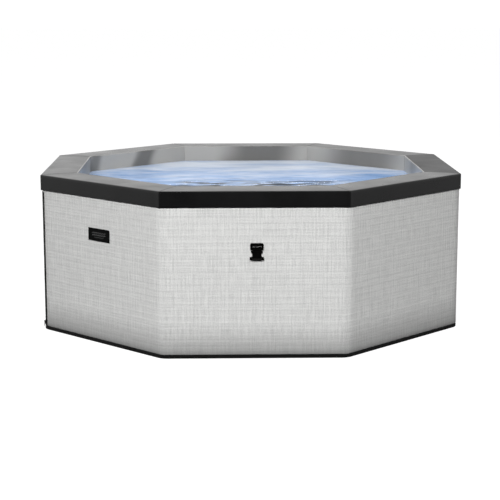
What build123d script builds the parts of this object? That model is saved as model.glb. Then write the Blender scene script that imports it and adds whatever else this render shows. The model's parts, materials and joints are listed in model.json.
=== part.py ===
"""Eight-sided portable hot tub with self-supporting foam walls.

The tub stands on a thin mat. Eight foam boards form the wall, between a woven jacket outside and a
waterproof liner inside, and eight mitred pads under one sewn cover form the rim. The back board holds
the equipment bay: pump, heater, air blower and control board behind a hinged door. Four side-release
buckles on the walls hold down a lid's straps.

Millimetres. The origin is on the ground at the centre of the tub, +Z is up, and the equipment bay
faces +Y. A piece fastened to a wall is modelled on the back wall and then turned to its own wall.
"""

import os
from math import cos, pi, radians, sin

from build123d import *

# The tub, measured flat to flat
HEIGHT = 692
RIM_ACROSS = 1850
RIM_WIDTH = 155
RIM_THICK = 66
WALL_ACROSS = 1842
MAT_ACROSS = 1846
MAT_THICK = 10
CORNER_R = 60
SKIN = 3
COVER_SKIN = 2
BOARD_THICK = 136
FLOOR_FOAM_THICK = 24
GAP = 0.3

SIDES = {
    "right": 0,
    "back_right": 45,
    "back": 90,
    "back_left": 135,
    "left": 180,
    "front_left": 225,
    "front": 270,
    "front_right": 315,
}
HALF_SIDE_ANGLE = pi / 8

# Levels and wall faces that follow from the sizes above
WALL_TOP = HEIGHT - RIM_THICK
WALL_FACE = WALL_ACROSS / 2
JACKET_IN = WALL_FACE - SKIN
BOARD_OUT = JACKET_IN - GAP
BOARD_IN = BOARD_OUT - BOARD_THICK
LINER_OUT = BOARD_IN - GAP
LINER_IN = LINER_OUT - SKIN
RIM_FACE = RIM_ACROSS / 2
RIM_IN = RIM_FACE - RIM_WIDTH
BOARD_TOP = WALL_TOP - SKIN - 2 * GAP
FLOOR_FOAM_Z = MAT_THICK + GAP
LINER_Z = FLOOR_FOAM_Z + FLOOR_FOAM_THICK + GAP
FLOOR_Z = LINER_Z + SKIN

# Equipment bay in the back wall
BAY_WIDTH = 460
BAY_LOW = 110
BAY_HIGH = 500
BAY_DEPTH = 112
BAY_BACK = BOARD_OUT - BAY_DEPTH
CASE_WALL = 3.5
CASE_BACK = BAY_BACK + 0.5
CASE_IN = CASE_BACK + CASE_WALL
CASE_HALF = BAY_WIDTH / 2 - 2
CASE_LOW = BAY_LOW + 2
CASE_HIGH = BAY_HIGH - 2
FLANGE_FACE = WALL_FACE + 3.4
FLANGE_BACK = WALL_FACE + 0.4
FLANGE_MARGIN = 17
DOOR_BACK = FLANGE_FACE + 0.4
DOOR_FACE = DOOR_BACK + 4
DOOR_HALF = 234
DOOR_LOW = 156
DOOR_HIGH = 506
HINGE_X = -243
HINGE_Y = DOOR_BACK + 2.2
HINGE_LEVELS = (230, 430)
HINGE_R = 4.5
LATCH_X = 205
LATCH_Z = 330
LATCH_CAM_Y = (DOOR_BACK - 8.5, DOOR_BACK - 5.5)
LOUVRES = 9
LOUVRE_PITCH = 16
LOUVRE_HEIGHT = 7
LOUVRE_HALF = 150
STRIP_HIGH = 152
GLAND_X = -150
GLAND_Z = 133
GLAND_HOLE_R = 8.2
CABLE_R = 4.5

# Pump, heater and blower, behind the door
PUMP_Y = 862
PUMP_Z = 178
HEATER_Y = 880
HEATER_Z = 290
PORT_R = 13
PRESSURE_X = -65
PRESSURE_Y = 890
BLOWER_X = 130
BLOWER_Z = 435

# Air channel round the foot of the liner
CHANNEL_WIDTH = 46
CHANNEL_HEIGHT = 20
AIR_HOLES = 7
AIR_HOLE_PITCH = 82
AIR_HOLE_R = 1.6

# Filter in front of the suction fitting
CAP_R = 58
CAP_DEPTH = 102
CAP_SLOTS = 16
CARTRIDGE_R = 46
CARTRIDGE_LENGTH = 88
PLEATS = 32
PLEAT_DEPTH = 8

# Fittings through the back wall: x, z, hole radius
SUCTION = (60, PUMP_Z, 22.5)
RETURN = (110, HEATER_Z, 18.5)
AIR = (168, 150, 12.5)
GASKET_THICK = 2
FITTING_FACE = LINER_IN - GAP - GASKET_THICK

# Drain through the back left wall
DRAIN_Z = 84
DRAIN_R = 12.5
DRAIN_SIDE = SIDES["back_left"]

# Buckles, one on each of the four walls that face along X or Y; the back one stands beside the door
BUCKLE_SIDES = ("front", "left", "right", "back")
BUCKLE_Z = 445
BUCKLE_X = -8
BACK_BUCKLE_X = -296
BUCKLE_THICK = 10
BUCKLE_BACK = WALL_FACE + 3.5
BUCKLE_FACE = BUCKLE_BACK + BUCKLE_THICK
PRONG_PIVOT_X = 14.5
PRONG_PIVOT_Z = 3.2
PRONG_ROOT_R = 2.5

# Zip down the front left corner of the jacket
ZIP_CENTRE = (-(WALL_FACE - CORNER_R), -(WALL_FACE - CORNER_R) * sin(HALF_SIDE_ANGLE) / cos(HALF_SIDE_ANGLE))
ZIP_ANGLE = 198
ZIP_HALF_ANGLE = 16
ZIP_LOW = 14
ZIP_HIGH = 618
CHAIN_WIDTH = 7
CHAIN_THICK = 2.4
SLIDER_Z = 30
PULL_LENGTH = 22

# Badge on the front left wall and control panel on the back wall
BADGE_SIZE = (135, 54)
BADGE_Z = 470
BADGE_THICK = 2.2
PANEL_SIZE = (230, 62)
PANEL_X = 110
PANEL_Z = 566
PANEL_FACE = WALL_FACE + 8
BUTTON_NAMES = ("power", "heat", "filter", "bubbles")
BUTTON_PITCH = 27
BUTTON_R = 9


def write(node, *shapes):
    """Write one node's solids to its own STEP file."""
    solids = [solid for shape in shapes for solid in shape.solids()]
    export_step(Compound(solids), f"parts/{node}.step")


def turned(shape, side_angle):
    """Turn a shape modelled on the back wall to the wall that faces side_angle."""
    return Rot(0, 0, side_angle - SIDES["back"]) * shape


def block(x0, x1, y0, y1, z0, z1):
    """Box between two corners."""
    return Pos((x0 + x1) / 2, (y0 + y1) / 2, (z0 + z1) / 2) * Box(x1 - x0, y1 - y0, z1 - z0)


def rod_x(x0, x1, y, z, radius):
    """Round bar along X."""
    return Pos((x0 + x1) / 2, y, z) * Rot(0, 90, 0) * Cylinder(radius, x1 - x0)


def rod_y(x, y0, y1, z, radius):
    """Round bar along Y."""
    return Pos(x, (y0 + y1) / 2, z) * Rot(90, 0, 0) * Cylinder(radius, y1 - y0)


def rod_z(x, y, z0, z1, radius):
    """Round bar along Z."""
    return Pos(x, y, (z0 + z1) / 2) * Cylinder(radius, z1 - z0)


def octagon(across, z0, z1, corner=0.0):
    """Upright eight-sided prism with a face square to each axis and, if asked, round corners."""
    outline = RegularPolygon(across / 2, 8, major_radius=False, rotation=22.5)
    prism = extrude(Pos(0, 0, z0) * outline, z1 - z0)
    return fillet(prism.edges().filter_by(Axis.Z), corner) if corner else prism


def ring(across_out, across_in, z0, z1, corner_out=0.0, corner_in=0.0):
    """Eight-sided wall, open at both ends."""
    return octagon(across_out, z0, z1, corner_out) - octagon(across_in, z0 - 1, z1 + 1, corner_in)


def sector(side_angle, gap):
    """Everything within one side's eighth of the tub, kept gap clear of the two mitre planes."""
    reach = RIM_ACROSS
    apex = gap / sin(HALF_SIDE_ANGLE)
    far_x = apex + reach * cos(HALF_SIDE_ANGLE)
    far_y = reach * sin(HALF_SIDE_ANGLE)
    outline = make_face(Polyline((apex, 0), (far_x, far_y), (far_x, -far_y), close=True))
    return Rot(0, 0, side_angle) * extrude(outline, HEIGHT + RIM_THICK)


# Floor, wall boards and skins


def ground_mat():
    return octagon(MAT_ACROSS, 0, MAT_THICK, CORNER_R)


def floor_foam():
    return octagon(2 * BOARD_IN - 2, FLOOR_FOAM_Z, FLOOR_FOAM_Z + FLOOR_FOAM_THICK)


def fitting_holes():
    """The three fittings' holes, through the liner, the thin part of the back board and the case."""
    return [rod_y(x, LINER_IN - 5, CASE_IN + 5, z, radius) for x, z, radius in (SUCTION, RETURN, AIR)]


def drain_hole():
    return turned(rod_y(0, LINER_IN - 5, WALL_FACE + 5, DRAIN_Z, DRAIN_R + 0.5), DRAIN_SIDE)


def liner():
    """Tub skin: floor, wall and the flange that hangs on top of the boards."""
    flange_across = 2 * (BOARD_OUT - 30)
    skin = octagon(2 * LINER_OUT, LINER_Z, BOARD_TOP + GAP)
    skin += octagon(flange_across, BOARD_TOP + GAP, BOARD_TOP + GAP + SKIN)
    skin -= octagon(2 * LINER_IN, FLOOR_Z, WALL_TOP + 5)
    for hole in [*fitting_holes(), drain_hole()]:
        skin -= hole
    return skin


def outer_jacket():
    skin = ring(WALL_ACROSS, 2 * JACKET_IN, MAT_THICK + GAP, WALL_TOP - GAP, CORNER_R, CORNER_R - SKIN)
    skin -= block(-BAY_WIDTH / 2, BAY_WIDTH / 2, 0, WALL_FACE + 5, BAY_LOW, BAY_HIGH)
    return skin - drain_hole()


def wall_board(side_angle):
    corner = CORNER_R - SKIN - GAP
    walls = ring(2 * BOARD_OUT, 2 * BOARD_IN, MAT_THICK + GAP, BOARD_TOP, corner)
    return walls & sector(side_angle, GAP)


def wall_board_back():
    """The back board, with the pocket for the equipment case."""
    board = wall_board(SIDES["back"])
    board -= block(-BAY_WIDTH / 2, BAY_WIDTH / 2, BAY_BACK, WALL_FACE, BAY_LOW, BAY_HIGH)
    for hole in fitting_holes():
        board -= hole
    return board


# Rim


def rim_cover():
    """Sewn cover over all eight pads, open underneath."""
    shell = ring(RIM_ACROSS, 2 * RIM_IN, WALL_TOP, HEIGHT)
    inside = ring(RIM_ACROSS - 2 * COVER_SKIN, 2 * (RIM_IN + COVER_SKIN), WALL_TOP - 1, HEIGHT - COVER_SKIN)
    return shell - inside


def rim_pad(side_angle):
    inset = COVER_SKIN + GAP
    pads = ring(RIM_ACROSS - 2 * inset, 2 * (RIM_IN + inset), WALL_TOP, HEIGHT - inset)
    return pads & sector(side_angle, GAP)


# Zip, on the round front left corner


def zip_sector(radius, half_angle):
    """Wedge of the corner about the zip's middle line, seen from above."""
    cx, cy = ZIP_CENTRE
    start = radians(ZIP_ANGLE - half_angle)
    end = radians(ZIP_ANGLE + half_angle)
    reach = 2 * radius
    corners = [
        (cx, cy),
        (cx + reach * cos(start), cy + reach * sin(start)),
        (cx + reach * cos(end), cy + reach * sin(end)),
    ]
    return extrude(Pos(0, 0, ZIP_LOW) * make_face(Polyline(*corners, close=True)), ZIP_HIGH - ZIP_LOW)


def on_zip(shape):
    """Move a shape modelled with +Y outward from the jacket at x = 0 to the zip's middle line."""
    return Pos(*ZIP_CENTRE, 0) * Rot(0, 0, ZIP_ANGLE - 90) * Pos(0, CORNER_R, 0) * shape


def zip_tape():
    """Two tapes sewn on the jacket, with the toothed chain between them."""
    cx, cy = ZIP_CENTRE
    band = rod_z(cx, cy, ZIP_LOW, ZIP_HIGH, CORNER_R + GAP + 1.2)
    band -= rod_z(cx, cy, ZIP_LOW - 1, ZIP_HIGH + 1, CORNER_R + GAP)
    band = band & zip_sector(CORNER_R, ZIP_HALF_ANGLE)
    half_slot = CHAIN_WIDTH / 2 + GAP
    band -= on_zip(block(-half_slot, half_slot, -5, 10, 0, HEIGHT))
    chain = block(-CHAIN_WIDTH / 2, CHAIN_WIDTH / 2, GAP, GAP + CHAIN_THICK, ZIP_LOW, ZIP_HIGH)
    return band, on_zip(chain)


def zip_slider():
    """Slider that rides on the chain, with the bridge its pull hangs from."""
    chain_top = GAP + CHAIN_THICK
    body = block(-7, 7, 1.9, chain_top + 2.2, SLIDER_Z - 9, SLIDER_Z + 9)
    body = fillet(body.edges().filter_by(Axis.Y), 3)
    body -= block(-CHAIN_WIDTH / 2 - 0.3, CHAIN_WIDTH / 2 + 0.3, -5, chain_top + 0.3, 0, 2 * SLIDER_Z)
    for x in (-4.2, 4.2):
        body += block(x - 0.9, x + 0.9, chain_top + 1.8, chain_top + 6.2, SLIDER_Z + 2, SLIDER_Z + 7)
    pin = rod_x(-5, 5, chain_top + 4.4, SLIDER_Z + 4.5, 0.9)
    return on_zip(body + pin)


def zip_pull():
    """Flat tab with an eye around the slider's pin."""
    chain_top = GAP + CHAIN_THICK
    eye_y = chain_top + 4.4
    eye_z = SLIDER_Z + 4.5
    tab = rod_x(-3, 3, eye_y, eye_z, 1.7)
    tab += block(-3, 3, eye_y - 0.7, eye_y + 0.7, eye_z - 6, eye_z)
    plate = block(-4.5, 4.5, eye_y - 0.7, eye_y + 0.7, eye_z - PULL_LENGTH, eye_z - 5)
    tab += fillet(plate.edges().filter_by(Axis.Y), 3)
    tab -= rod_x(-5, 5, eye_y, eye_z, 0.97)
    return on_zip(tab)


# Badge and buckles


def badge():
    """Blank moulded badge with a raised frame."""
    width, height = BADGE_SIZE
    back = WALL_FACE + GAP
    plate = block(-width / 2, width / 2, back, back + BADGE_THICK, BADGE_Z - height / 2, BADGE_Z + height / 2)
    plate = fillet(plate.edges().filter_by(Axis.Y), 3)
    edge = 3
    recess = block(
        -width / 2 + edge,
        width / 2 - edge,
        back + BADGE_THICK - 0.6,
        back + BADGE_THICK + 1,
        BADGE_Z - height / 2 + edge,
        BADGE_Z + height / 2 - edge,
    )
    return turned(plate - recess, SIDES["front_left"])


def on_buckle(shape, side):
    """Move a shape modelled about the buckle's middle at x = 0, z = 0 to its wall."""
    sideways = BACK_BUCKLE_X if side == "back" else BUCKLE_X
    return turned(Pos(sideways, 0, BUCKLE_Z) * shape, SIDES[side])


def mirrored(half):
    """A closed outline from the points of its right half, top to bottom."""
    return half + [(-x, z) for x, z in reversed(half)]


def plate_on_wall(points, y0, y1):
    """Outline in X and Z, given as points, as a plate between two distances from the tub's centre."""
    outline = make_face(Plane.XZ * Polyline(*points, close=True))
    return Pos(0, y0, 0) * extrude(outline, y1 - y0, dir=(0, 1, 0))


def socket():
    """Female half: mouth collar, open-sided waist and the base with its webbing bar."""
    half = [(23.5, 4), (23.5, 0), (20, -2), (15.5, -5), (15.5, -16), (20, -20), (28, -21.2), (28.7, -22)]
    half += [(28.7, -30.6), (27.6, -31.8), (21, -32.6)]
    body = plate_on_wall(mirrored(half), BUCKLE_BACK, BUCKLE_FACE)
    pocket_back = BUCKLE_BACK + 2
    pocket_face = BUCKLE_FACE - 2
    body -= block(-20.3, 20.3, pocket_back, pocket_face, -18, 6)
    body -= block(-20, 20, BUCKLE_BACK - 1, BUCKLE_FACE + 1, -28.4, -23.9)
    for y0, y1 in ((BUCKLE_BACK - 1, BUCKLE_BACK + 1.5), (BUCKLE_FACE - 3, BUCKLE_FACE + 1)):
        body -= block(-20, 20, y0, y1, -34, -27.4)
    return body


def webbing():
    """Woven tab: a patch sewn to the jacket and a loop round the socket's bar."""
    half_width = 19
    patch = block(-half_width, half_width, WALL_FACE + GAP, WALL_FACE + 1.9, -31, 20)
    outer = block(-half_width, half_width, WALL_FACE + 3.2, BUCKLE_FACE - 1.1, -35.5, -26.4)
    outer = fillet(outer.edges().filter_by(Axis.X), 1.8)
    loop = outer - block(-30, 30, BUCKLE_BACK + 1.3, BUCKLE_FACE - 2.8, -33.8, -28.1)
    tie = block(-half_width, half_width, WALL_FACE + 1, WALL_FACE + 4, -31.4, -27.9)
    return patch + loop + tie


def plug():
    """Male half: slotted head for the lid's strap, neck and centre guide."""
    head = block(-27, 27, BUCKLE_BACK, BUCKLE_FACE, 8.5, 36.5)
    head = fillet(head.edges().filter_by(Axis.Y), 6)
    head -= block(-19, 19, BUCKLE_BACK - 1, BUCKLE_FACE + 1, 20.7, 26.3)
    head -= block(-19, 19, BUCKLE_FACE - 3, BUCKLE_FACE + 1, 11.5, 17.5)
    neck_back = BUCKLE_BACK + 2.3
    neck_face = BUCKLE_FACE - 2.3
    body = head + block(-18.5, 18.5, neck_back, neck_face, PRONG_PIVOT_Z, 9)
    body += block(-4, 4, neck_back, neck_face, -16, 4)
    for x in (-PRONG_PIVOT_X, PRONG_PIVOT_X):
        body -= rod_y(x, WALL_FACE, BUCKLE_FACE + 5, PRONG_PIVOT_Z, PRONG_ROOT_R + 0.08)
    return body


def prong(hand):
    """Springy side arm; hand is 1 for the arm on +X and -1 for the other."""
    back = BUCKLE_BACK + 2.4
    face = BUCKLE_FACE - 2.4
    x = PRONG_PIVOT_X
    arm = [(x - 1.6, 2.5), (x + 1.6, 2.5), (16.6, -1), (19.6, -4), (18.6, -8), (18.4, -14), (15.5, -17)]
    arm += [(12.5, -15.5), (12.8, -6)]
    body = plate_on_wall([(hand * px, pz) for px, pz in arm], back, face)
    return body + rod_y(hand * x, back, face, PRONG_PIVOT_Z, PRONG_ROOT_R)


# Air channel and water fittings


def bubble_channel():
    """Welded air channel round the foot of the liner: eight lengths, each with a row of air holes."""
    top = FLOOR_Z + GAP + CHANNEL_HEIGHT
    inner_face = LINER_IN - GAP - CHANNEL_WIDTH
    lengths = []
    for side_angle in SIDES.values():
        piece = ring(2 * (LINER_IN - GAP), 2 * inner_face, FLOOR_Z + GAP, top) & sector(side_angle, GAP)
        slope = Pos(0, inner_face, top) * Rot(45, 0, 0) * Box(LINER_IN, 12, 12)
        piece -= turned(slope, side_angle)
        for k in range(AIR_HOLES):
            x = (k - (AIR_HOLES - 1) / 2) * AIR_HOLE_PITCH
            piece -= turned(rod_z(x, LINER_IN - CHANNEL_WIDTH / 2, top - 6, top + 1, AIR_HOLE_R), side_angle)
        lengths.append(piece)
    return lengths


def air_elbow():
    """Air inlet through the wall, turned down to the channel."""
    x, z, _ = AIR
    drop_y = LINER_IN - 20
    foot = FLOOR_Z + GAP + CHANNEL_HEIGHT + GAP
    body = rod_y(x, FITTING_FACE - 5, FITTING_FACE, z, 24)
    body += rod_y(x, drop_y, CASE_IN + 18, z, 11.6)
    body += Pos(x, drop_y, z) * Sphere(11.6)
    body += rod_z(x, drop_y, foot, z, 11.6)
    body -= rod_z(x, drop_y, foot - 1, z, 7.5)
    return body - rod_y(x, drop_y, CASE_IN + 20, z, 7.5)


def suction_fitting():
    """Wall fitting on the pump's suction side, with the disc and collar that hold the filter."""
    x, z, hole = SUCTION
    body = rod_y(x, FITTING_FACE - 5, FITTING_FACE, z, 60)
    body += rod_y(x, FITTING_FACE - 20, FITTING_FACE - 5, z, 53) - rod_y(x, 0, FITTING_FACE - 5, z, 50)
    body += rod_y(x, FITTING_FACE, CASE_IN + 14, z, hole - 0.5)
    body += rod_y(x, CASE_IN + 14, CASE_IN + 30, z, 16)
    return body - rod_y(x, FITTING_FACE - 6, CASE_IN + 31, z, 12.5)


def return_fitting():
    """Wall fitting that gives the heated water back, with a cross grille."""
    x, z, hole = RETURN
    body = rod_y(x, FITTING_FACE - 6, FITTING_FACE, z, 36)
    body = fillet(body.edges().group_by(Axis.Y)[0], 4)
    body += rod_y(x, FITTING_FACE, CASE_IN + 14, z, hole - 0.5)
    body += rod_y(x, CASE_IN + 14, CASE_IN + 26, z, PORT_R)
    body -= rod_y(x, FITTING_FACE - 7, CASE_IN + 27, z, 9.5)
    for turn in (0, 90):
        bar = Pos(x, FITTING_FACE - 4, z) * Rot(0, turn, 0) * Box(20, 3, 2)
        body += bar
    return body


def fitting_gaskets():
    """Rubber rings between each fitting's flange and the liner."""
    rings = []
    for (x, z, hole), radius in zip((SUCTION, RETURN, AIR), (52, 34, 23)):
        rings.append(rod_y(x, FITTING_FACE, LINER_IN, z, radius) - rod_y(x, 0, WALL_FACE, z, hole))
    return rings


def hex_nut(x, y0, thick, z, across, hole_r):
    """Six-sided nut on an axis along Y."""
    outline = Plane.XZ * Pos(x, z) * RegularPolygon(across / 2, 6, major_radius=False)
    return Pos(0, y0 + thick, 0) * extrude(outline, thick) - rod_y(x, y0 - 1, y0 + thick + 1, z, hole_r)


def fitting_nuts():
    """Nuts that clamp the fittings in the case, and the drain on its wall."""
    nuts = []
    for (x, z, hole), across in zip((SUCTION, RETURN, AIR), (60, 48, 32)):
        nuts.append(hex_nut(x, CASE_IN + GAP, 9, z, across, hole - 0.4))
    nuts.append(turned(hex_nut(0, WALL_FACE + GAP, 3.6, DRAIN_Z, 42, DRAIN_R + 0.1), DRAIN_SIDE))
    return nuts


def filter_cap():
    """Slotted cup that screws over the filter."""
    x, z, _ = SUCTION
    rim_y = FITTING_FACE - 7
    cup = rod_y(x, rim_y - CAP_DEPTH, rim_y, z, CAP_R)
    cup = fillet(cup.edges().group_by(Axis.Y)[0], 6)
    cup -= rod_y(x, rim_y - CAP_DEPTH + 4, rim_y + 1, z, CAP_R - 3.5)
    slot = Pos(x, rim_y - CAP_DEPTH / 2 - 4, z) * Pos(CAP_R - 2, 0, 0) * Box(12, 66, 7)
    pivot = Axis((x, 0, z), (0, 1, 0))
    for k in range(CAP_SLOTS):
        cup -= slot.rotate(pivot, 360 / CAP_SLOTS * k)
    grip = Pos(x, rim_y - CAP_DEPTH - 4, z) * Box(64, 10, 10)
    return cup + grip


def filter_cartridge():
    """Pleated cartridge between two end rings, with an open core."""
    x, z, _ = SUCTION
    near = FITTING_FACE - 8
    pleats = []
    for k in range(2 * PLEATS):
        radius = CARTRIDGE_R - 2 - (0 if k % 2 else PLEAT_DEPTH)
        pleats.append((radius * cos(pi * k / PLEATS), radius * sin(pi * k / PLEATS)))
    media = Plane.XZ * make_face(Polyline(*pleats, close=True))
    body = Pos(x, near - 4, z) * extrude(media, CARTRIDGE_LENGTH - 8)
    for end in (near - 4, near - CARTRIDGE_LENGTH):
        body += rod_y(x, end, end + 4, z, CARTRIDGE_R)
    return body - rod_y(x, near - CARTRIDGE_LENGTH - 1, near + 1, z, 20)


# Drain


def drain_valve():
    """Drain tube through the wall, its inner flange and outer spigot."""
    body = rod_y(0, LINER_IN - GAP - 4, LINER_IN - GAP, DRAIN_Z, 20)
    body += rod_y(0, LINER_IN - GAP, WALL_FACE + 10.5, DRAIN_Z, DRAIN_R)
    return turned(body - rod_y(0, LINER_IN - 10, WALL_FACE + 11, DRAIN_Z, 9), DRAIN_SIDE)


def drain_cap():
    """Ribbed cap on the spigot."""
    back = WALL_FACE + 4.4
    cap = rod_y(0, back, WALL_FACE + 13.2, DRAIN_Z, 16)
    cap -= rod_y(0, back - 1, WALL_FACE + 10.7, DRAIN_Z, DRAIN_R + 0.2)
    notch = Pos(16.6, (back + WALL_FACE + 13.2) / 2, DRAIN_Z) * Box(2.4, 20, 1.6)
    pivot = Axis((0, 0, DRAIN_Z), (0, 1, 0))
    for k in range(20):
        cap -= notch.rotate(pivot, 18 * k)
    return turned(cap, DRAIN_SIDE)


# Equipment bay


def equipment_case():
    """Case in the back board: open mouth, flange over the jacket and a fixed strip under the door."""
    inner = CASE_HALF - CASE_WALL
    body = block(-CASE_HALF, CASE_HALF, CASE_BACK, FLANGE_FACE, CASE_LOW, CASE_HIGH)
    flange_half = CASE_HALF + FLANGE_MARGIN
    flange_low = CASE_LOW - FLANGE_MARGIN
    flange_high = CASE_HIGH + FLANGE_MARGIN
    flange = block(-flange_half, flange_half, FLANGE_BACK, FLANGE_FACE, flange_low, flange_high)
    body += fillet(flange.edges().filter_by(Axis.Y), 12)
    body -= block(-inner, inner, CASE_IN, FLANGE_FACE + 5, CASE_LOW + CASE_WALL, CASE_HIGH - CASE_WALL)
    body += block(-inner - 1, inner + 1, FLANGE_FACE - 5, FLANGE_FACE, CASE_LOW + 2, STRIP_HIGH)
    for hole in fitting_holes():
        body -= hole
    body -= rod_y(GLAND_X, FLANGE_FACE - 6, FLANGE_FACE + 1, GLAND_Z, GLAND_HOLE_R)
    cam_back, cam_face = LATCH_CAM_Y
    body -= block(inner - 1, CASE_HALF + 1, cam_back - 1.5, cam_face + 1.5, LATCH_Z - 16, LATCH_Z + 16)
    for level in HINGE_LEVELS:
        body -= rod_z(HINGE_X, HINGE_Y, level - 6.4, level + 6.4, HINGE_R + 0.6)
        for z0, z1 in ((level - 18, level - 6.4), (level + 6.4, level + 18)):
            body += rod_z(HINGE_X, HINGE_Y, z0, z1, HINGE_R)
        body -= rod_z(HINGE_X, HINGE_Y, level - 19, level + 19, 2.05)
    return body


def service_door():
    """Louvred door with a locating rib inside and two hinge knuckles."""
    door = block(-DOOR_HALF, DOOR_HALF, DOOR_BACK, DOOR_FACE, DOOR_LOW, DOOR_HIGH)
    door = fillet(door.edges().filter_by(Axis.Y), 10)
    face = door.faces().sort_by(Axis.Y)[-1]
    door = fillet(face.edges(), 1.5)
    rib = block(-185, 185, DOOR_BACK - 6, DOOR_BACK + 1, DOOR_LOW + 20, DOOR_HIGH - 30)
    rib -= block(-182, 182, DOOR_BACK - 7, DOOR_BACK + 2, DOOR_LOW + 23, DOOR_HIGH - 33)
    door += rib
    for k in range(LOUVRES):
        low = DOOR_HIGH - 60 - LOUVRE_PITCH * k - LOUVRE_HEIGHT / 2
        door -= block(-LOUVRE_HALF, LOUVRE_HALF, DOOR_BACK - 1, DOOR_FACE + 1, low, low + LOUVRE_HEIGHT)
    for level in HINGE_LEVELS:
        door += rod_z(HINGE_X, HINGE_Y, level - 6, level + 6, HINGE_R)
        door += block(HINGE_X, -DOOR_HALF + 2, DOOR_BACK, DOOR_FACE, level - 6, level + 6)
        door -= rod_z(HINGE_X, HINGE_Y, level - 8, level + 8, 2.08)
    return door - rod_y(LATCH_X, DOOR_BACK - 10, DOOR_FACE + 1, LATCH_Z, 5.08)


def hinge_pins():
    """Headed pin for each hinge, pushed down through case and door."""
    pins = []
    for level in HINGE_LEVELS:
        shank = rod_z(HINGE_X, HINGE_Y, level - 18, level + 19, 2)
        pins.append(shank + rod_z(HINGE_X, HINGE_Y, level + 18.1, level + 19.6, 2.5))
    return pins


def door_latch():
    """Quarter-turn knob with its spindle and the cam that turns behind the case's wall."""
    knob = rod_y(LATCH_X, DOOR_FACE + 0.2, DOOR_FACE + 2, LATCH_Z, 14)
    knob += block(LATCH_X - 3, LATCH_X + 3, DOOR_FACE + 1, DOOR_FACE + 4.8, LATCH_Z - 12, LATCH_Z + 12)
    spindle = rod_y(LATCH_X, LATCH_CAM_Y[0], DOOR_FACE + 1, LATCH_Z, 5)
    cam = block(LATCH_X - 4, LATCH_X + 4, *LATCH_CAM_Y, LATCH_Z - 21.5, LATCH_Z + 4)
    return knob + spindle + cam


def pump_motor():
    """Finned motor on a foot, bored for the rotor's shaft."""
    body = rod_x(-200, -85, PUMP_Y, PUMP_Z, 42)
    for k in range(10):
        body += rod_x(-190 + 10 * k, -187 + 10 * k, PUMP_Y, PUMP_Z, 45)
    body += block(-182, -102, PUMP_Y - 26, PUMP_Y + 26, CASE_LOW + CASE_WALL + GAP, PUMP_Z - 20)
    return body - rod_x(-152, -80, PUMP_Y, PUMP_Z, 4.06)


def pump_housing():
    """Round housing with the rotor's chamber, an inlet on the axis and a tangential outlet."""
    body = rod_x(-84.5, -44, PUMP_Y, PUMP_Z, 50)
    body = fillet(body.edges().group_by(Axis.X)[-1], 6)
    body += rod_x(-45, -20, PUMP_Y, PUMP_Z, 16)
    body += rod_z(PRESSURE_X, PRESSURE_Y, PUMP_Z, PUMP_Z + 71, PORT_R)
    body -= rod_x(-79, -51, PUMP_Y, PUMP_Z, 40)
    body -= rod_x(-52, -19, PUMP_Y, PUMP_Z, 12)
    body -= rod_x(-85, -78, PUMP_Y, PUMP_Z, 5)
    return body - rod_z(PRESSURE_X, PRESSURE_Y, PUMP_Z, PUMP_Z + 72, 9)


def pump_rotor():
    """Shaft, disc and six curved vanes."""
    body = rod_x(-150, -58, PUMP_Y, PUMP_Z, 4)
    body += rod_x(-76, -73, PUMP_Y, PUMP_Z, 36)
    body += rod_x(-74, -57, PUMP_Y, PUMP_Z, 9)
    arc = rod_x(-74, -60, PUMP_Y + 20, PUMP_Z, 20) - rod_x(-75, -59, PUMP_Y + 20, PUMP_Z, 17.6)
    vane = arc & rod_x(-74, -60, PUMP_Y, PUMP_Z, 35)
    vane &= block(-80, -50, PUMP_Y, PUMP_Y + 60, PUMP_Z, PUMP_Z + 60)
    pivot = Axis((0, PUMP_Y, PUMP_Z), (1, 0, 0))
    for k in range(6):
        body += vane.rotate(pivot, 60 * k)
    return body


def heater():
    """Steel heater tube with end caps, two ports and its terminal block."""
    body = rod_x(-135, 135, HEATER_Y, HEATER_Z, 26)
    for x0, x1 in ((-135, -122), (122, 135)):
        body += rod_x(x0, x1, HEATER_Y, HEATER_Z, 29)
    body += rod_z(PRESSURE_X, PRESSURE_Y, PUMP_Z + 74, HEATER_Z, PORT_R)
    body += rod_y(RETURN[0], CASE_IN + 29, HEATER_Y, HEATER_Z, PORT_R)
    body += block(-40, 20, HEATER_Y - 12, HEATER_Y + 12, HEATER_Z + 20, HEATER_Z + 38)
    body -= rod_x(-120, 120, HEATER_Y, HEATER_Z, 23)
    body -= rod_z(PRESSURE_X, PRESSURE_Y, PUMP_Z + 73, HEATER_Z, 9)
    return body - rod_y(RETURN[0], CASE_IN + 28, HEATER_Y, HEATER_Z, 9)


def blower_housing():
    """Box round the fan, with a grille hole in front, a small motor behind and the outlet below."""
    x, z = BLOWER_X, BLOWER_Z
    body = block(x - 50, x + 50, 826, 896, z - 50, z + 50)
    body = fillet(body.edges().filter_by(Axis.Y), 14)
    body += rod_y(x, CASE_IN + 2, 830, z, 16)
    body += rod_z(AIR[0], PUMP_Y, z - 66, z - 45, 10)
    body -= rod_y(x, 836, 886, z, 42)
    body -= rod_y(x, 880, 900, z, 26)
    body -= rod_y(x, CASE_IN + 6, 840, z, 3.06)
    return body - rod_z(AIR[0], PUMP_Y, z - 67, z - 20, 7)


def blower_fan():
    """Shaft, back disc and twelve blades."""
    x, z = BLOWER_X, BLOWER_Z
    body = rod_y(x, CASE_IN + 7, 850, z, 3)
    body += rod_y(x, 840, 868, z, 8)
    body += rod_y(x, 840, 842, z, 38)
    pivot = Axis((x, 0, z), (0, 1, 0))
    blade = block(x + 22, x + 37, 841, 872, z - 0.9, z + 0.9)
    for k in range(12):
        body += blade.rotate(pivot, 30 * k)
    return body


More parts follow.
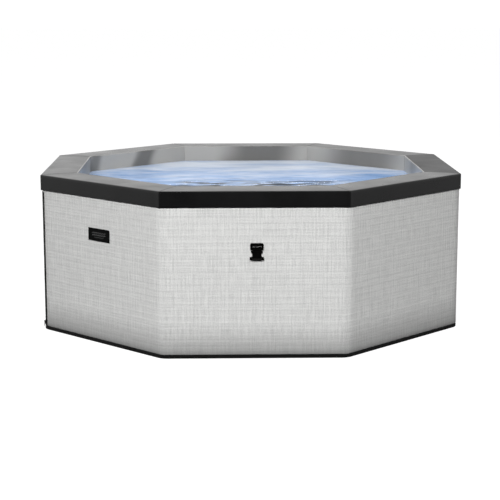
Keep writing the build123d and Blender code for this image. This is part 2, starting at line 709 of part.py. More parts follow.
def control_board():
    """Board on four posts, with a transformer, relays and terminals."""
    board = block(-190, -50, 824, 826, 372, 478)
    for x, z in ((-182, 380), (-58, 380), (-182, 470), (-58, 470)):
        board += rod_y(x, CASE_IN + GAP, 825, z, 4)
    board += block(-180, -138, 825, 860, 385, 425)
    for k in range(3):
        board += block(-128 + 24 * k, -110 + 24 * k, 825, 842, 384, 410)
    board += block(-176, -64, 825, 838, 452, 466)
    return board + block(-125, -100, 825, 831, 422, 442)


def cable_gland():
    """Gland for the supply cable: thread through the strip, hexagon and domed nut."""
    x, z = GLAND_X, GLAND_Z
    body = rod_y(x, FLANGE_FACE - 14, FLANGE_FACE + 1, z, GLAND_HOLE_R - 0.2)
    body += hex_nut(x, FLANGE_FACE + 0.2, 3.4, z, 23, 5)
    dome = rod_y(x, FLANGE_FACE + 3, FLANGE_FACE + 9.6, z, 10)
    body += fillet(dome.edges().group_by(Axis.Y)[-1], 3)
    return body - rod_y(x, FLANGE_FACE - 15, FLANGE_FACE + 12, z, CABLE_R)


def hose(points, bend_radius, outer, inner):
    """Hose along straight runs joined by one bend."""
    path = FilletPolyline(*points, radius=bend_radius)
    section = Plane(path @ 0, z_dir=path % 0) * (Circle(outer) - Circle(inner))
    return sweep(section, path=path)


def hoses():
    """Suction hose, two short couplings and the blower's air hose."""
    x, z, _ = SUCTION
    suction = hose([(-40, PUMP_Y, PUMP_Z), (x, PUMP_Y, PUMP_Z), (x, CASE_IN + 16, z)], 24, 19.5, 16.2)
    pressure = rod_z(PRESSURE_X, PRESSURE_Y, PUMP_Z + 60, PUMP_Z + 82, 16)
    pressure -= rod_z(PRESSURE_X, PRESSURE_Y, PUMP_Z + 59, PUMP_Z + 83, PORT_R + 0.2)
    back = rod_y(RETURN[0], CASE_IN + 16, CASE_IN + 41, HEATER_Z, 16)
    back -= rod_y(RETURN[0], CASE_IN + 15, CASE_IN + 42, HEATER_Z, PORT_R + 0.2)
    air_x, air_z, _ = AIR
    air = hose(
        [(air_x, PUMP_Y, BLOWER_Z - 53), (air_x, PUMP_Y, air_z), (air_x, CASE_IN + 12, air_z)], 26, 14, 11.7
    )
    return suction, pressure, back, air


# Control panel


def button_places():
    """Each button's name and middle, in a row on the panel."""
    first = PANEL_X - PANEL_SIZE[0] / 2 + 22
    return {name: first + BUTTON_PITCH * k for k, name in enumerate(BUTTON_NAMES)}


def control_panel():
    """Panel on the back wall, with a display window and a well for each button."""
    width, height = PANEL_SIZE
    back = WALL_FACE + GAP
    x0, x1 = PANEL_X - width / 2, PANEL_X + width / 2
    panel = block(x0, x1, back, PANEL_FACE, PANEL_Z - height / 2, PANEL_Z + height / 2)
    panel = fillet(panel.edges().filter_by(Axis.Y), 10)
    panel = fillet(panel.faces().sort_by(Axis.Y)[-1].edges(), 1.5)
    for x in button_places().values():
        panel -= rod_y(x, PANEL_FACE - 4.5, PANEL_FACE + 1, PANEL_Z, BUTTON_R + 0.1)
    return panel - block(x1 - 92, x1 - 14, PANEL_FACE - 1, PANEL_FACE + 1, PANEL_Z - 19, PANEL_Z + 19)


def button(x):
    """Round button that stands just proud of the panel and travels 1.2 mm."""
    cap = rod_y(x, PANEL_FACE - 3, PANEL_FACE + 1.6, PANEL_Z, BUTTON_R)
    return fillet(cap.edges().group_by(Axis.Y)[-1], 1)


def main():
    os.makedirs("parts", exist_ok=True)
    write("ground_mat", ground_mat())
    write("floor_foam", floor_foam())
    write("liner", liner())
    write("outer_jacket", outer_jacket())
    boards = {name: wall_board(angle) for name, angle in SIDES.items() if name != "back"}
    boards["back_left"] -= drain_hole()
    write("wall_boards", *boards.values())
    write("wall_board_back", wall_board_back())
    write("rim_cover", rim_cover())
    for name, angle in SIDES.items():
        write(f"rim_pad_{name}", rim_pad(angle))
    write("zip_tape", *zip_tape())
    write("zip_slider", zip_slider())
    write("zip_pull", zip_pull())
    write("badge", badge())
    write("buckle_webbing", *[on_buckle(webbing(), side) for side in BUCKLE_SIDES])
    write("buckle_sockets", *[on_buckle(socket(), side) for side in BUCKLE_SIDES])
    for side in BUCKLE_SIDES:
        write(f"buckle_plug_{side}", on_buckle(plug(), side))
        write(f"buckle_prong_{side}_a", on_buckle(prong(1), side))
        write(f"buckle_prong_{side}_b", on_buckle(prong(-1), side))
    write("bubble_channel", *bubble_channel(), air_elbow())
    write("suction_fitting", suction_fitting())
    write("return_fitting", return_fitting())
    write("fitting_gaskets", *fitting_gaskets())
    write("fitting_nuts", *fitting_nuts())
    write("filter_cap", filter_cap())
    write("filter_cartridge", filter_cartridge())
    write("drain_valve", drain_valve())
    write("drain_cap", drain_cap())
    write("equipment_case", equipment_case())
    write("service_door", service_door())
    write("hinge_pins", *hinge_pins())
    write("door_latch", door_latch())
    write("pump_motor", pump_motor())
    write("pump_housing", pump_housing())
    write("pump_rotor", pump_rotor())
    write("heater", heater())
    write("blower_housing", blower_housing())
    write("blower_fan", blower_fan())
    write("control_board", control_board())
    write("cable_gland", cable_gland())
    write("hoses", *hoses())
    write("control_panel", control_panel())
    for name, x in button_places().items():
        write(f"button_{name}", button(x))


main()
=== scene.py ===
"""Looks of the eight-sided foam-walled hot tub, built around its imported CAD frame.

Metres, in the CAD frame: the origin is on the ground at the middle of the tub, +Z is up, the front wall
faces -Y and the equipment bay faces +Y. Soft skins are swept round the octagon from a profile of
(distance from the middle, height), so every piece keeps the mitred corners of the real one.
"""

import json
import math
import random

import bmesh
import bpy
from mathutils import Matrix, Vector, noise


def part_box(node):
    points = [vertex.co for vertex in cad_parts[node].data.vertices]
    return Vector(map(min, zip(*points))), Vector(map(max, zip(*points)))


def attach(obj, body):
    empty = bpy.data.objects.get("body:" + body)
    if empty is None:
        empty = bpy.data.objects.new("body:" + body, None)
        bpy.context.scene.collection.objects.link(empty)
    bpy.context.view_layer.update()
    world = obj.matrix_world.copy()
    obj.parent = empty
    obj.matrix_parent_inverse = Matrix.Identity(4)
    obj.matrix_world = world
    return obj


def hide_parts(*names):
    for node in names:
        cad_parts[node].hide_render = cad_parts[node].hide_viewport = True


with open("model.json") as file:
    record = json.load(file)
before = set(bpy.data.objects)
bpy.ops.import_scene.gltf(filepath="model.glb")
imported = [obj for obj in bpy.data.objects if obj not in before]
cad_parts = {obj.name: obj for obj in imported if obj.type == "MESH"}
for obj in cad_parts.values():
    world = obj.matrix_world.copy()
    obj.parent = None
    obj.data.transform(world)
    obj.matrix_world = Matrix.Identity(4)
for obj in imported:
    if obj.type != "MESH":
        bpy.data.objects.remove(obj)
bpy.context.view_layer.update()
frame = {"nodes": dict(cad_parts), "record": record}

MM = 0.001
SIDES = 8
HALF_ANGLE = math.pi / SIDES
SIDE_NAMES = ("right", "back_right", "back", "back_left", "left", "front_left", "front", "front_right")

# Sizes read from the frame
RIM_LOW, RIM_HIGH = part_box("rim_cover")
RIM_OUT = RIM_HIGH.x
RIM_BOTTOM = RIM_LOW.z
RIM_TOP = RIM_HIGH.z
RIM_IN = RIM_OUT - 155 * MM
JACKET_LOW, JACKET_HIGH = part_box("outer_jacket")
WALL_OUT = JACKET_HIGH.x
MAT_LOW, MAT_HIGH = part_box("ground_mat")
LINER_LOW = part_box("liner")[0].z
LINER_IN = -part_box("bubble_channel")[0].y + 0.3 * MM
FLANGE_FACE_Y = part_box("equipment_case")[1].y
CORNER_R = 60 * MM
WATER_Z = RIM_TOP - 72 * MM
ZIP_ANGLE = math.radians(198)
ZIP_CORNER = 4
ZIP_HALF_WIDTH = 16.6 * MM
PLAIN_CORNER_R = 14 * MM
BAY_HALF = 230 * MM
BAY_HEIGHTS = (110 * MM, 500 * MM)
LOUVRE_LEVELS = [(446 - 16 * k) * MM for k in range(9)]
LOUVRE_HALF = 150 * MM
BUCKLES = {"front": (-8 * MM, 445 * MM), "left": (-8 * MM, 445 * MM), "right": (-8 * MM, 445 * MM),
           "back": (-296 * MM, 445 * MM)}

# Painted reflections, drawn as soft dark drifts in the inner vinyl: place in sides round from the right
# wall, half width and darkness
PAINTED_REFLECTION_DRIFTS = ((0.55, 0.16, 0.5), (1.44, 0.37, 0.9), (2.42, 0.28, 1.0), (3.47, 0.10, 1.0), (3.97, 0.07, 0.9),
          (4.55, 0.2, 0.6), (5.3, 0.15, 0.8), (6.15, 0.25, 0.9), (6.8, 0.12, 0.7), (7.5, 0.28, 0.9))

# How matt each section of the rim cover is, from the right side round
RIM_MATT = (0.18, 0.03, 0.0, 0.0, 0.03, 0.02, 0.0, 0.0)

random.seed(11)


# Node and material helpers


def add_node(tree, kind, inputs=None, **settings):
    """New shader node with its settings, and each input linked or set."""
    made = tree.nodes.new(kind)
    for name, value in settings.items():
        setattr(made, name, value)
    for key, value in (inputs or {}).items():
        if isinstance(value, bpy.types.NodeSocket):
            tree.links.new(value, made.inputs[key])
        else:
            made.inputs[key].default_value = value
    return made


def scaled(tree, vector, scale):
    """The vector, multiplied by a scale for each axis."""
    return add_node(tree, "ShaderNodeVectorMath", {0: vector, 1: scale}, operation="MULTIPLY").outputs[0]


def noise_of(tree, vector, scale=1.0, detail=2.0, roughness=0.5):
    """Noise from 0 to 1 at these coordinates."""
    inputs = {"Vector": vector, "Scale": scale, "Detail": detail, "Roughness": roughness}
    return add_node(tree, "ShaderNodeTexNoise", inputs).outputs["Fac"]


def in_range(tree, value, low, high, to_low=0.0, to_high=1.0):
    """The value, mapped from low..high to to_low..to_high and held within them."""
    inputs = {"Value": value, "From Min": low, "From Max": high, "To Min": to_low, "To Max": to_high}
    return add_node(tree, "ShaderNodeMapRange", inputs).outputs["Result"]


def math_of(tree, operation, a, b=0.0):
    return add_node(tree, "ShaderNodeMath", {0: a, 1: b}, operation=operation).outputs[0]


def blend_colours(tree, factor, a, b):
    """Colour a where the factor is 0 and b where it is 1."""
    mix = add_node(tree, "ShaderNodeMix", {"Factor": factor}, data_type="RGBA")
    for key, value in ((6, a), (7, b)):
        if isinstance(value, bpy.types.NodeSocket):
            tree.links.new(value, mix.inputs[key])
        else:
            mix.inputs[key].default_value = (*value, 1)
    return mix.outputs[2]


def bump_of(tree, height, distance, strength):
    inputs = {"Height": height, "Distance": distance, "Strength": strength}
    return add_node(tree, "ShaderNodeBump", inputs).outputs["Normal"]


def added(tree, value, part, share):
    """The value plus a share of another."""
    return math_of(tree, "ADD", value, math_of(tree, "MULTIPLY", part, share))


def stored(tree, name, output="Fac"):
    """What the mesh stores at each point under this name."""
    return add_node(tree, "ShaderNodeAttribute", attribute_name=name).outputs[output]


def waves_of(tree, vector, scale, direction, distortion=0.0):
    inputs = {"Vector": vector, "Scale": scale, "Distortion": distortion}
    return add_node(tree, "ShaderNodeTexWave", inputs, bands_direction=direction).outputs["Fac"]


def cells_of(tree, vector, scale, feature="F1"):
    inputs = {"Vector": vector, "Scale": scale}
    return add_node(tree, "ShaderNodeTexVoronoi", inputs, feature=feature).outputs["Distance"]


def new_material(name, colour, roughness=0.5, metallic=0.0, specular=0.5):
    """Principled material, its tree, its shader and the piece's own coordinates in metres."""
    made = bpy.data.materials.new(name)
    made.use_nodes = True
    tree = made.node_tree
    shader = tree.nodes["Principled BSDF"]
    shader.inputs["Base Color"].default_value = (*colour, 1)
    shader.inputs["Roughness"].default_value = roughness
    shader.inputs["Metallic"].default_value = metallic
    shader.inputs["Specular IOR Level"].default_value = specular
    coordinates = add_node(tree, "ShaderNodeTexCoord").outputs["Object"]
    return made, tree, shader, coordinates


def drive(tree, shader, **sockets):
    """Link each named shader input."""
    for name, socket in sockets.items():
        tree.links.new(socket, shader.inputs[name.replace("_", " ")])


# Materials

LINEN_DARK = (0.54, 0.542, 0.535)
LINEN_LIGHT = (0.80, 0.802, 0.79)

# Threads of the linen: scale along the wall and up it, detail, roughness and share of the tone
LINEN_THREADS = (
    ((230, 14), 1, 0.6, 0.7),
    ((12, 230), 1, 0.6, 0.4),
    ((120, 1.8), 1, 0.5, 0.3),
    ((1.6, 120), 1, 0.5, 0.2),
    ((290, 290), 2, 0.75, 2.0),
)


def linen_jacket():
    """Laminated linen-look cloth: uneven threads both ways over a fine weave, with painted shade darkening
    it towards the hem.
    """
    made, tree, shader, _ = new_material("linen_jacket", (0.7, 0.7, 0.7), 0.62, specular=0.25)
    wall = stored(tree, "wall", "Vector")
    tone = 0.0
    for scale, detail, roughness, share in LINEN_THREADS:
        threads = noise_of(tree, scaled(tree, wall, (*scale, 1)), detail=detail, roughness=roughness)
        tone = added(tree, tone, threads, share)
    for direction, scale, share in (("Y", 11.2, 0.1), ("Y", 23.5, 0.1), ("X", 19.6, 0.08)):
        tone = added(tree, tone, waves_of(tree, wall, scale, direction, 0.6), share)
    colour = blend_colours(tree, in_range(tree, tone, 1.615, 2.215), LINEN_DARK, LINEN_LIGHT)
    height = add_node(tree, "ShaderNodeSeparateXYZ", {0: wall}).outputs["Y"]
    # Painted shade: the cloth's colour is blended towards near-black over the lowest 0.15 m of the wall.
    hem = math_of(tree, "POWER", in_range(tree, height, 0.0, 0.15), 0.5)
    colour = blend_colours(tree, hem, (0.10, 0.10, 0.10), colour)
    weave = math_of(tree, "MULTIPLY", waves_of(tree, wall, 110, "X"), waves_of(tree, wall, 110, "Y"))
    relief = added(tree, tone, weave, 0.5)
    drive(tree, shader, Base_Color=colour, Normal=bump_of(tree, relief, 0.0004, 0.6))
    shader.inputs["Sheen Weight"].default_value = 0.1
    return made


def vinyl(name, dark, light, roughness, grain, specular=0.5):
    """Satin vinyl with a fine pebbled grain and uneven gloss; a matt attribute dulls it further."""
    made, tree, shader, place = new_material(name, light, roughness, specular=specular)
    broad = noise_of(tree, place, 7, 4, 0.6)
    relief = added(tree, cells_of(tree, place, 720, "SMOOTH_F1"), noise_of(tree, place, 1500), 0.4)
    gloss = in_range(tree, broad, 0.25, 0.75, roughness - 0.05, roughness + 0.06)
    drive(
        tree,
        shader,
        Base_Color=blend_colours(tree, in_range(tree, broad, 0.3, 0.7), dark, light),
        Roughness=math_of(tree, "ADD", gloss, stored(tree, "matt")),
        Normal=bump_of(tree, relief, 0.0002, grain),
    )
    return made


def inner_vinyl():
    """Grey satin vinyl of the rim's inner face, with painted reflections in soft light and dark drifts."""
    made, tree, shader, place = new_material("inner_vinyl", (0.3, 0.3, 0.3), 0.34, specular=0.4)
    cloud = noise_of(tree, scaled(tree, place, (6, 6, 3)), detail=3)
    # Painted reflection: the stored drift darkens the grey where the face is drawn as reflecting something
    # dark.
    tone = added(tree, stored(tree, "drift"), math_of(tree, "SUBTRACT", cloud, 0.5), 0.35)
    drive(
        tree,
        shader,
        Base_Color=blend_colours(tree, tone, (0.385, 0.375, 0.355), (0.155, 0.151, 0.143)),
        Roughness=in_range(tree, cloud, 0.3, 0.7, 0.30, 0.40),
        Normal=bump_of(tree, noise_of(tree, place, 1100), 0.00015, 0.25),
    )
    return made


def moulded(name, dark, light, roughness, specular=0.5):
    """Moulded plastic with a fine spark-eroded texture."""
    made, tree, shader, place = new_material(name, light, roughness, specular=specular)
    fine = noise_of(tree, place, 2200, 2)
    broad = noise_of(tree, place, 18, 3)
    drive(
        tree,
        shader,
        Base_Color=blend_colours(tree, in_range(tree, broad, 0.3, 0.7), dark, light),
        Roughness=in_range(tree, fine, 0.3, 0.7, roughness - 0.05, roughness + 0.08),
        Normal=bump_of(tree, fine, 0.00012, 0.35),
    )
    return made


def woven(name, dark, light, pitch=700):
    """Tape or webbing, with ribs across a fine weave."""
    made, tree, shader, place = new_material(name, light, 0.8, specular=0.3)
    ribs = waves_of(tree, place, pitch / 3, "Z")
    checks = add_node(tree, "ShaderNodeTexBrick", {"Vector": place, "Scale": pitch}).outputs["Fac"]
    relief = math_of(tree, "ADD", added(tree, ribs, noise_of(tree, place, 2600), 0.8), checks)
    drive(
        tree,
        shader,
        Base_Color=blend_colours(tree, in_range(tree, relief, 0.3, 1.7), dark, light),
        Normal=bump_of(tree, relief, 0.0003, 0.6),
    )
    return made


def foam(name, dark, light):
    """Closed-cell foam with fine cells."""
    made, tree, shader, place = new_material(name, light, 0.85, specular=0.2)
    colour = blend_colours(tree, noise_of(tree, place, 12, 3), dark, light)
    drive(tree, shader, Base_Color=colour, Normal=bump_of(tree, cells_of(tree, place, 450), 0.0006, 0.5))
    return made


def brushed(name, dark, light):
    """Brushed steel, with its lines along X."""
    made, tree, shader, place = new_material(name, light, 0.3, metallic=1.0)
    lines = noise_of(tree, scaled(tree, place, (12, 2400, 2400)), detail=3)
    drive(
        tree,
        shader,
        Base_Color=blend_colours(tree, lines, dark, light),
        Roughness=in_range(tree, lines, 0.3, 0.7, 0.24, 0.4),
        Normal=bump_of(tree, lines, 0.00006, 0.3),
    )
    return made


def circuit_board():
    made, tree, shader, place = new_material("circuit_board", (0.02, 0.12, 0.06), 0.35)
    tracks = add_node(tree, "ShaderNodeTexBrick", {"Vector": place, "Scale": 90}).outputs["Fac"]
    spots = noise_of(tree, place, 160, 1)
    colour = blend_colours(tree, tracks, (0.02, 0.13, 0.06), (0.05, 0.22, 0.11))
    colour = blend_colours(tree, in_range(tree, spots, 0.60, 0.64), colour, (0.55, 0.45, 0.18))
    drive(tree, shader, Base_Color=colour, Normal=bump_of(tree, tracks, 0.0002, 0.5))
    return made


def pool_water():
    """Aerated water: painted pale lavender reflection at the back to deeper blue in front, white with froth,
    and painted shade in front of the crests.
    """
    made, tree, shader, place = new_material("pool_water", (0.42, 0.62, 0.86), 0.1, specular=0.16)
    drift = noise_of(tree, scaled(tree, place, (3.6, 7.5, 4)), detail=3)
    streak = noise_of(tree, scaled(tree, place, (7, 26, 12)), detail=3)
    tone = added(tree, math_of(tree, "MULTIPLY", drift, 0.75), streak, 0.25)
    # Painted reflection: the stored fade keeps the back of the water the pale colour of a reflection and
    # turns it deep blue towards the front.
    blue = math_of(tree, "ADD", in_range(tree, tone, 0.38, 0.62, -0.35, 0.35), stored(tree, "painted_reflection_to_blue"))
    colour = blend_colours(tree, in_range(tree, blue, 0.0, 1.0), (0.74, 0.82, 0.95), (0.18, 0.36, 0.70))
    cells = cells_of(tree, place, 240)
    froth = math_of(tree, "MULTIPLY", stored(tree, "foam"), in_range(tree, cells, 0.0, 0.6, 1.0, 0.75))
    colour = blend_colours(tree, froth, colour, (0.66, 0.75, 0.90))
    # Painted shade: near black on the front faces of the crests.
    colour = blend_colours(tree, stored(tree, "painted_crest_shade"), colour, (0.045, 0.05, 0.058))
    ripple = noise_of(tree, scaled(tree, place, (20, 50, 30)))
    relief = added(tree, ripple, froth, math_of(tree, "MULTIPLY", cells, 0.6))
    drive(
        tree,
        shader,
        Base_Color=colour,
        Roughness=in_range(tree, froth, 0.0, 1.0, 0.18, 0.4),
        Normal=bump_of(tree, relief, 0.002, 0.3),
    )
    shader.inputs["IOR"].default_value = 1.33
    return made


def water_foam():
    made, tree, shader, place = new_material("water_foam", (0.8, 0.87, 0.95), 0.35, specular=0.4)
    broad = noise_of(tree, place, 30, 3)
    colour = blend_colours(tree, in_range(tree, broad, 0.3, 0.7), (0.66, 0.77, 0.95), (0.80, 0.88, 1.0))
    drive(tree, shader, Base_Color=colour)
    return made


MATERIALS = {
    "jacket": linen_jacket(),
    "rim_vinyl": vinyl("rim_vinyl", (0.0066, 0.0066, 0.0068), (0.0104, 0.0104, 0.0107), 0.29, 0.1, 0.4),
    "liner": vinyl("liner_vinyl", (0.22, 0.235, 0.26), (0.30, 0.315, 0.34), 0.30, 0.2),
    "mat_black": foam("mat_black", (0.006, 0.006, 0.006), (0.012, 0.012, 0.012)),
    "foam": foam("white_foam", (0.62, 0.62, 0.60), (0.72, 0.72, 0.70)),
    "zip": woven("zip_tape_cloth", (0.006, 0.006, 0.006), (0.016, 0.016, 0.016)),
    "zip_metal": moulded("zip_lacquer", (0.008, 0.008, 0.008), (0.016, 0.016, 0.016), 0.25),
    "badge": moulded("badge_plastic", (0.0018, 0.0018, 0.0018), (0.003, 0.003, 0.003), 0.55, 0.06),
    "webbing": woven("webbing_cloth", (0.006, 0.006, 0.006), (0.018, 0.018, 0.018), 420),
    "buckle": moulded("buckle_acetal", (0.002, 0.002, 0.002), (0.0035, 0.0035, 0.0035), 0.4, 0.14),
    "air_channel": vinyl("channel_pvc", (0.26, 0.28, 0.31), (0.34, 0.36, 0.39), 0.35, 0.2),
    "fitting": moulded("fitting_plastic", (0.42, 0.44, 0.46), (0.52, 0.54, 0.57), 0.42),
    "gasket": moulded("gasket_rubber", (0.012, 0.012, 0.012), (0.02, 0.02, 0.02), 0.7),
    "filter_paper": woven("filter_fleece", (0.66, 0.69, 0.73), (0.84, 0.86, 0.88), 900),
    "drain": moulded("drain_plastic", (0.016, 0.016, 0.018), (0.026, 0.026, 0.029), 0.45),
    "case": moulded("case_plastic", (0.017, 0.0175, 0.0195), (0.027, 0.028, 0.031), 0.48),
    "case_trim": moulded("trim_plastic", (0.006, 0.006, 0.0065), (0.012, 0.012, 0.013), 0.4),
    "panel": moulded("panel_gloss", (0.006, 0.006, 0.007), (0.010, 0.010, 0.011), 0.12),
    "button": moulded("button_rubber", (0.26, 0.27, 0.29), (0.34, 0.35, 0.37), 0.6),
    "motor": moulded("motor_paint", (0.035, 0.04, 0.045), (0.055, 0.06, 0.066), 0.4),
    "pump": moulded("pump_plastic", (0.02, 0.021, 0.023), (0.034, 0.036, 0.038), 0.45),
    "pump_rotor": moulded("rotor_nylon", (0.52, 0.50, 0.45), (0.64, 0.62, 0.57), 0.5),
    "steel": brushed("brushed_steel", (0.46, 0.46, 0.46), (0.66, 0.66, 0.66)),
    "board": circuit_board(),
    "hose": moulded("hose_rubber", (0.10, 0.105, 0.115), (0.15, 0.155, 0.165), 0.5),
    "water": pool_water(),
}
FOAM_WHITE = water_foam()
INNER_VINYL = inner_vinyl()
THREAD = woven("black_thread", (0.004, 0.004, 0.004), (0.010, 0.010, 0.010), 2400)
MARK_GREY = moulded("mark_grey", (0.10, 0.10, 0.10), (0.13, 0.13, 0.13), 0.5, 0.1)
DISPLAY = moulded("display_window", (0.004, 0.006, 0.012), (0.006, 0.009, 0.016), 0.08)
DIGIT = moulded("display_digit", (0.42, 0.72, 0.9), (0.5, 0.8, 0.98), 0.3)
SYMBOL_DARK = moulded("symbol_dark", (0.012, 0.012, 0.014), (0.02, 0.02, 0.022), 0.4)


# Mesh helpers


def finish_piece(name, mesh, slot, body="tub", replaces=(), material=None, smooth_angle=35):
    """Object for a mesh that is already in place: its material (the one for its record slot, unless one is
    given), smoothing and body.
    """
    made = bpy.data.objects.new(name, mesh)
    bpy.context.scene.collection.objects.link(made)
    mesh.materials.append(material or MATERIALS[slot])
    mesh.shade_smooth()
    mesh.set_sharp_from_angle(angle=math.radians(smooth_angle))
    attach(made, body)
    if replaces:
        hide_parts(*replaces)
    return made


def mesh_from(name, vertices, faces):
    """Mesh with its faces turned to point outward."""
    mesh = bpy.data.meshes.new(name)
    mesh.from_pydata([tuple(v) for v in vertices], [], faces)
    form = bmesh.new()
    form.from_mesh(mesh)
    bmesh.ops.recalc_face_normals(form, faces=form.faces)
    form.to_mesh(mesh)
    form.free()
    return mesh


def add_piece(name, part, slot, values=None, **settings):
    """Piece from (vertices, faces), with the numbers that its material reads at each point."""
    mesh = mesh_from(name, *part)
    for key, numbers in (values or {}).items():
        mesh.attributes.new(key, "FLOAT", "POINT").data.foreach_set("value", numbers)
    return finish_piece(name, mesh, slot, **settings)


def skinned(rings, looped=False):
    """Vertices and faces of a skin over rings of points; its ends are closed unless it loops round."""
    size, count = len(rings[0]), len(rings)
    faces = []
    for c in range(count if looped else count - 1):
        a, b = c * size, (c + 1) % count * size
        for k in range(size):
            n = (k + 1) % size
            faces.append((a + k, a + n, b + n, b + k))
    if not looped:
        faces += [tuple(range(size)), tuple(range((count - 1) * size, count * size))]
    return [point for ring in rings for point in ring], faces


def rounded(points, radii, steps=5):
    """Path through points in a plane, each corner replaced by an arc of its radius."""
    path = [Vector(points[0])]
    for before, corner, after, radius in zip(points, points[1:], points[2:], radii):
        a = (Vector(before) - Vector(corner)).normalized()
        b = (Vector(after) - Vector(corner)).normalized()
        half = a.angle(b) / 2
        start = Vector(corner) + a * radius / math.tan(half)
        centre = Vector(corner) + (a + b).normalized() * radius / math.sin(half)
        end = Vector(corner) + b * radius / math.tan(half)
        first, last = start - centre, end - centre
        turn = math.atan2(first.x * last.y - first.y * last.x, first.dot(last))
        path += [centre + Matrix.Rotation(turn * k / steps, 2) @ first for k in range(steps + 1)]
    return path + [Vector(points[-1])]


def divided(path, longest):
    """The path with its long steps divided."""
    out = [path[0]]
    for a, b in zip(path, path[1:]):
        count = max(1, math.ceil((b - a).length / longest))
        out += [a.lerp(b, k / count) for k in range(1, count + 1)]
    return out


def path_normals(path):
    """Unit normal to the left of the path at each point."""
    out = []
    for k in range(len(path)):
        along = (path[min(k + 1, len(path) - 1)] - path[max(k - 1, 0)]).normalized()
        out.append(Vector((-along.y, along.x)))
    return out


def side_frame(side):
    """Outward and sideways directions of a side of the octagon."""
    angle = 2 * HALF_ANGLE * side
    return Vector((math.cos(angle), math.sin(angle), 0)), Vector((-math.sin(angle), math.cos(angle), 0))


def on_side(side, across, out, height):
    """Point of a side: across it, at a distance from the middle, at a height."""
    outward, sideways = side_frame(side)
    return outward * out + sideways * across + Vector((0, 0, height))


def stations(near_mitre, spacing, half_length):
    """Places along a side from -1 to 1, close together near both mitres."""
    near = [1 - d / half_length for d in near_mitre]
    count = math.ceil(2 * near[-1] * half_length / spacing)
    middle = [-near[-1] + 2 * near[-1] * k / count for k in range(1, count)]
    return [-v for v in near] + middle + near[::-1]


def swept(side, place, point):
    """A profile's point, at a place from -1 to 1 along a side."""
    return on_side(side, place * point.x * math.tan(HALF_ANGLE), point.x, point.y)


def octagon_sweep(loop, places, sides=range(SIDES), capped=False, shift=None):
    """Vertices and faces of a closed (distance, height) loop carried along sides of the octagon.

    places run from -1 to 1 along each side. shift(side, place, index) moves a point in its own profile.
    """
    rings = []
    for side in sides:
        for place in places if capped else places[:-1]:
            profile = [point + shift(side, place, k) if shift else point for k, point in enumerate(loop)]
            rings.append([swept(side, place, point) for point in profile])
    return skinned(rings, looped=not capped)


def shell_loop(path, thickness):
    """Closed loop of a path and its copy, a thickness to its right."""
    inner = [p - n * thickness for p, n in zip(path, path_normals(path))]
    return path + inner[::-1]


def joined(parts):
    """One vertex and face list from several."""
    vertices, faces = [], []
    for more_vertices, more_faces in parts:
        base = len(vertices)
        vertices += more_vertices
        faces += [tuple(base + i for i in face) for face in more_faces]
    return vertices, faces


def capsule(start, end, radius, rings=6, around=8):
    """Round-ended rod between two points."""
    axis = (end - start).normalized()
    side = axis.orthogonal().normalized()
    other = axis.cross(side)
    vertices, faces = [start - axis * radius], []
    levels = []
    for k in range(1, rings):
        angle = math.pi * k / rings
        anchor = start if angle <= math.pi / 2 else end
        levels.append((anchor - axis * radius * math.cos(angle), radius * math.sin(angle)))
    for centre, reach in levels:
        for j in range(around):
            turn = 2 * math.pi * j / around
            vertices.append(centre + side * reach * math.cos(turn) + other * reach * math.sin(turn))
    vertices.append(end + axis * radius)
    last = len(vertices) - 1
    for j in range(around):
        n = (j + 1) % around
        faces.append((0, 1 + n, 1 + j))
        for k in range(len(levels) - 1):
            a, b = 1 + k * around, 1 + (k + 1) * around
            faces.append((a + j, a + n, b + n, b + j))
        base = 1 + (len(levels) - 1) * around
        faces.append((base + j, base + n, last))
    return vertices, faces


def ramp(value, low, high):
    """0 at low, 1 at high and held within them."""
    return min(1.0, max(0.0, (value - low) / (high - low)))


def block(low, high, edge):
    """Box between two corners, its edges rounded."""
    form = bmesh.new()
    bmesh.ops.create_cube(form, size=1)
    for point in form.verts:
        point.co = Vector([(l + h) / 2 + c * (h - l) for l, h, c in zip(low, high, point.co)])
    bmesh.ops.bevel(form, geom=form.edges[:], offset=edge, segments=1, profile=0.5, affect="EDGES")
    form.verts.ensure_lookup_table()
    vertices = [p.co.copy() for p in form.verts]
    faces = [tuple(p.index for p in face.verts) for face in form.faces]
    form.free()
    return vertices, faces


def moved(part, place_at):
    """The part's points, each put where place_at(x, y, z) says."""
    vertices, faces = part
    return [place_at(*v) for v in vertices], faces


def stroke(points, radius, place_at=Vector):
    """Round line through points."""
    parts = [capsule(Vector(a), Vector(b), radius, 4, 6) for a, b in zip(points, points[1:])]
    return moved(joined(parts), lambda x, y, z: place_at((x, y, z)))


def lathe(profile, around, reach):
    """Surface of revolution about +Y from (radius, y) pairs; reach(k, angle) scales a ring's radius."""
    rings = []
    for k, (radius, y) in enumerate(profile):
        ring = []
        for j in range(around):
            angle = 2 * math.pi * j / around
            r = radius * reach(k, angle)
            ring.append(Vector((r * math.cos(angle), y, r * math.sin(angle))))
        rings.append(ring)
    return skinned(rings)


def on_wall(side_name, x, y, z):
    """A point given for the back wall, turned to another wall."""
    turn = 2 * HALF_ANGLE * (SIDE_NAMES.index(side_name) - SIDE_NAMES.index("back"))
    return Matrix.Rotation(turn, 3, "Z") @ Vector((x, y, z))


# Rim


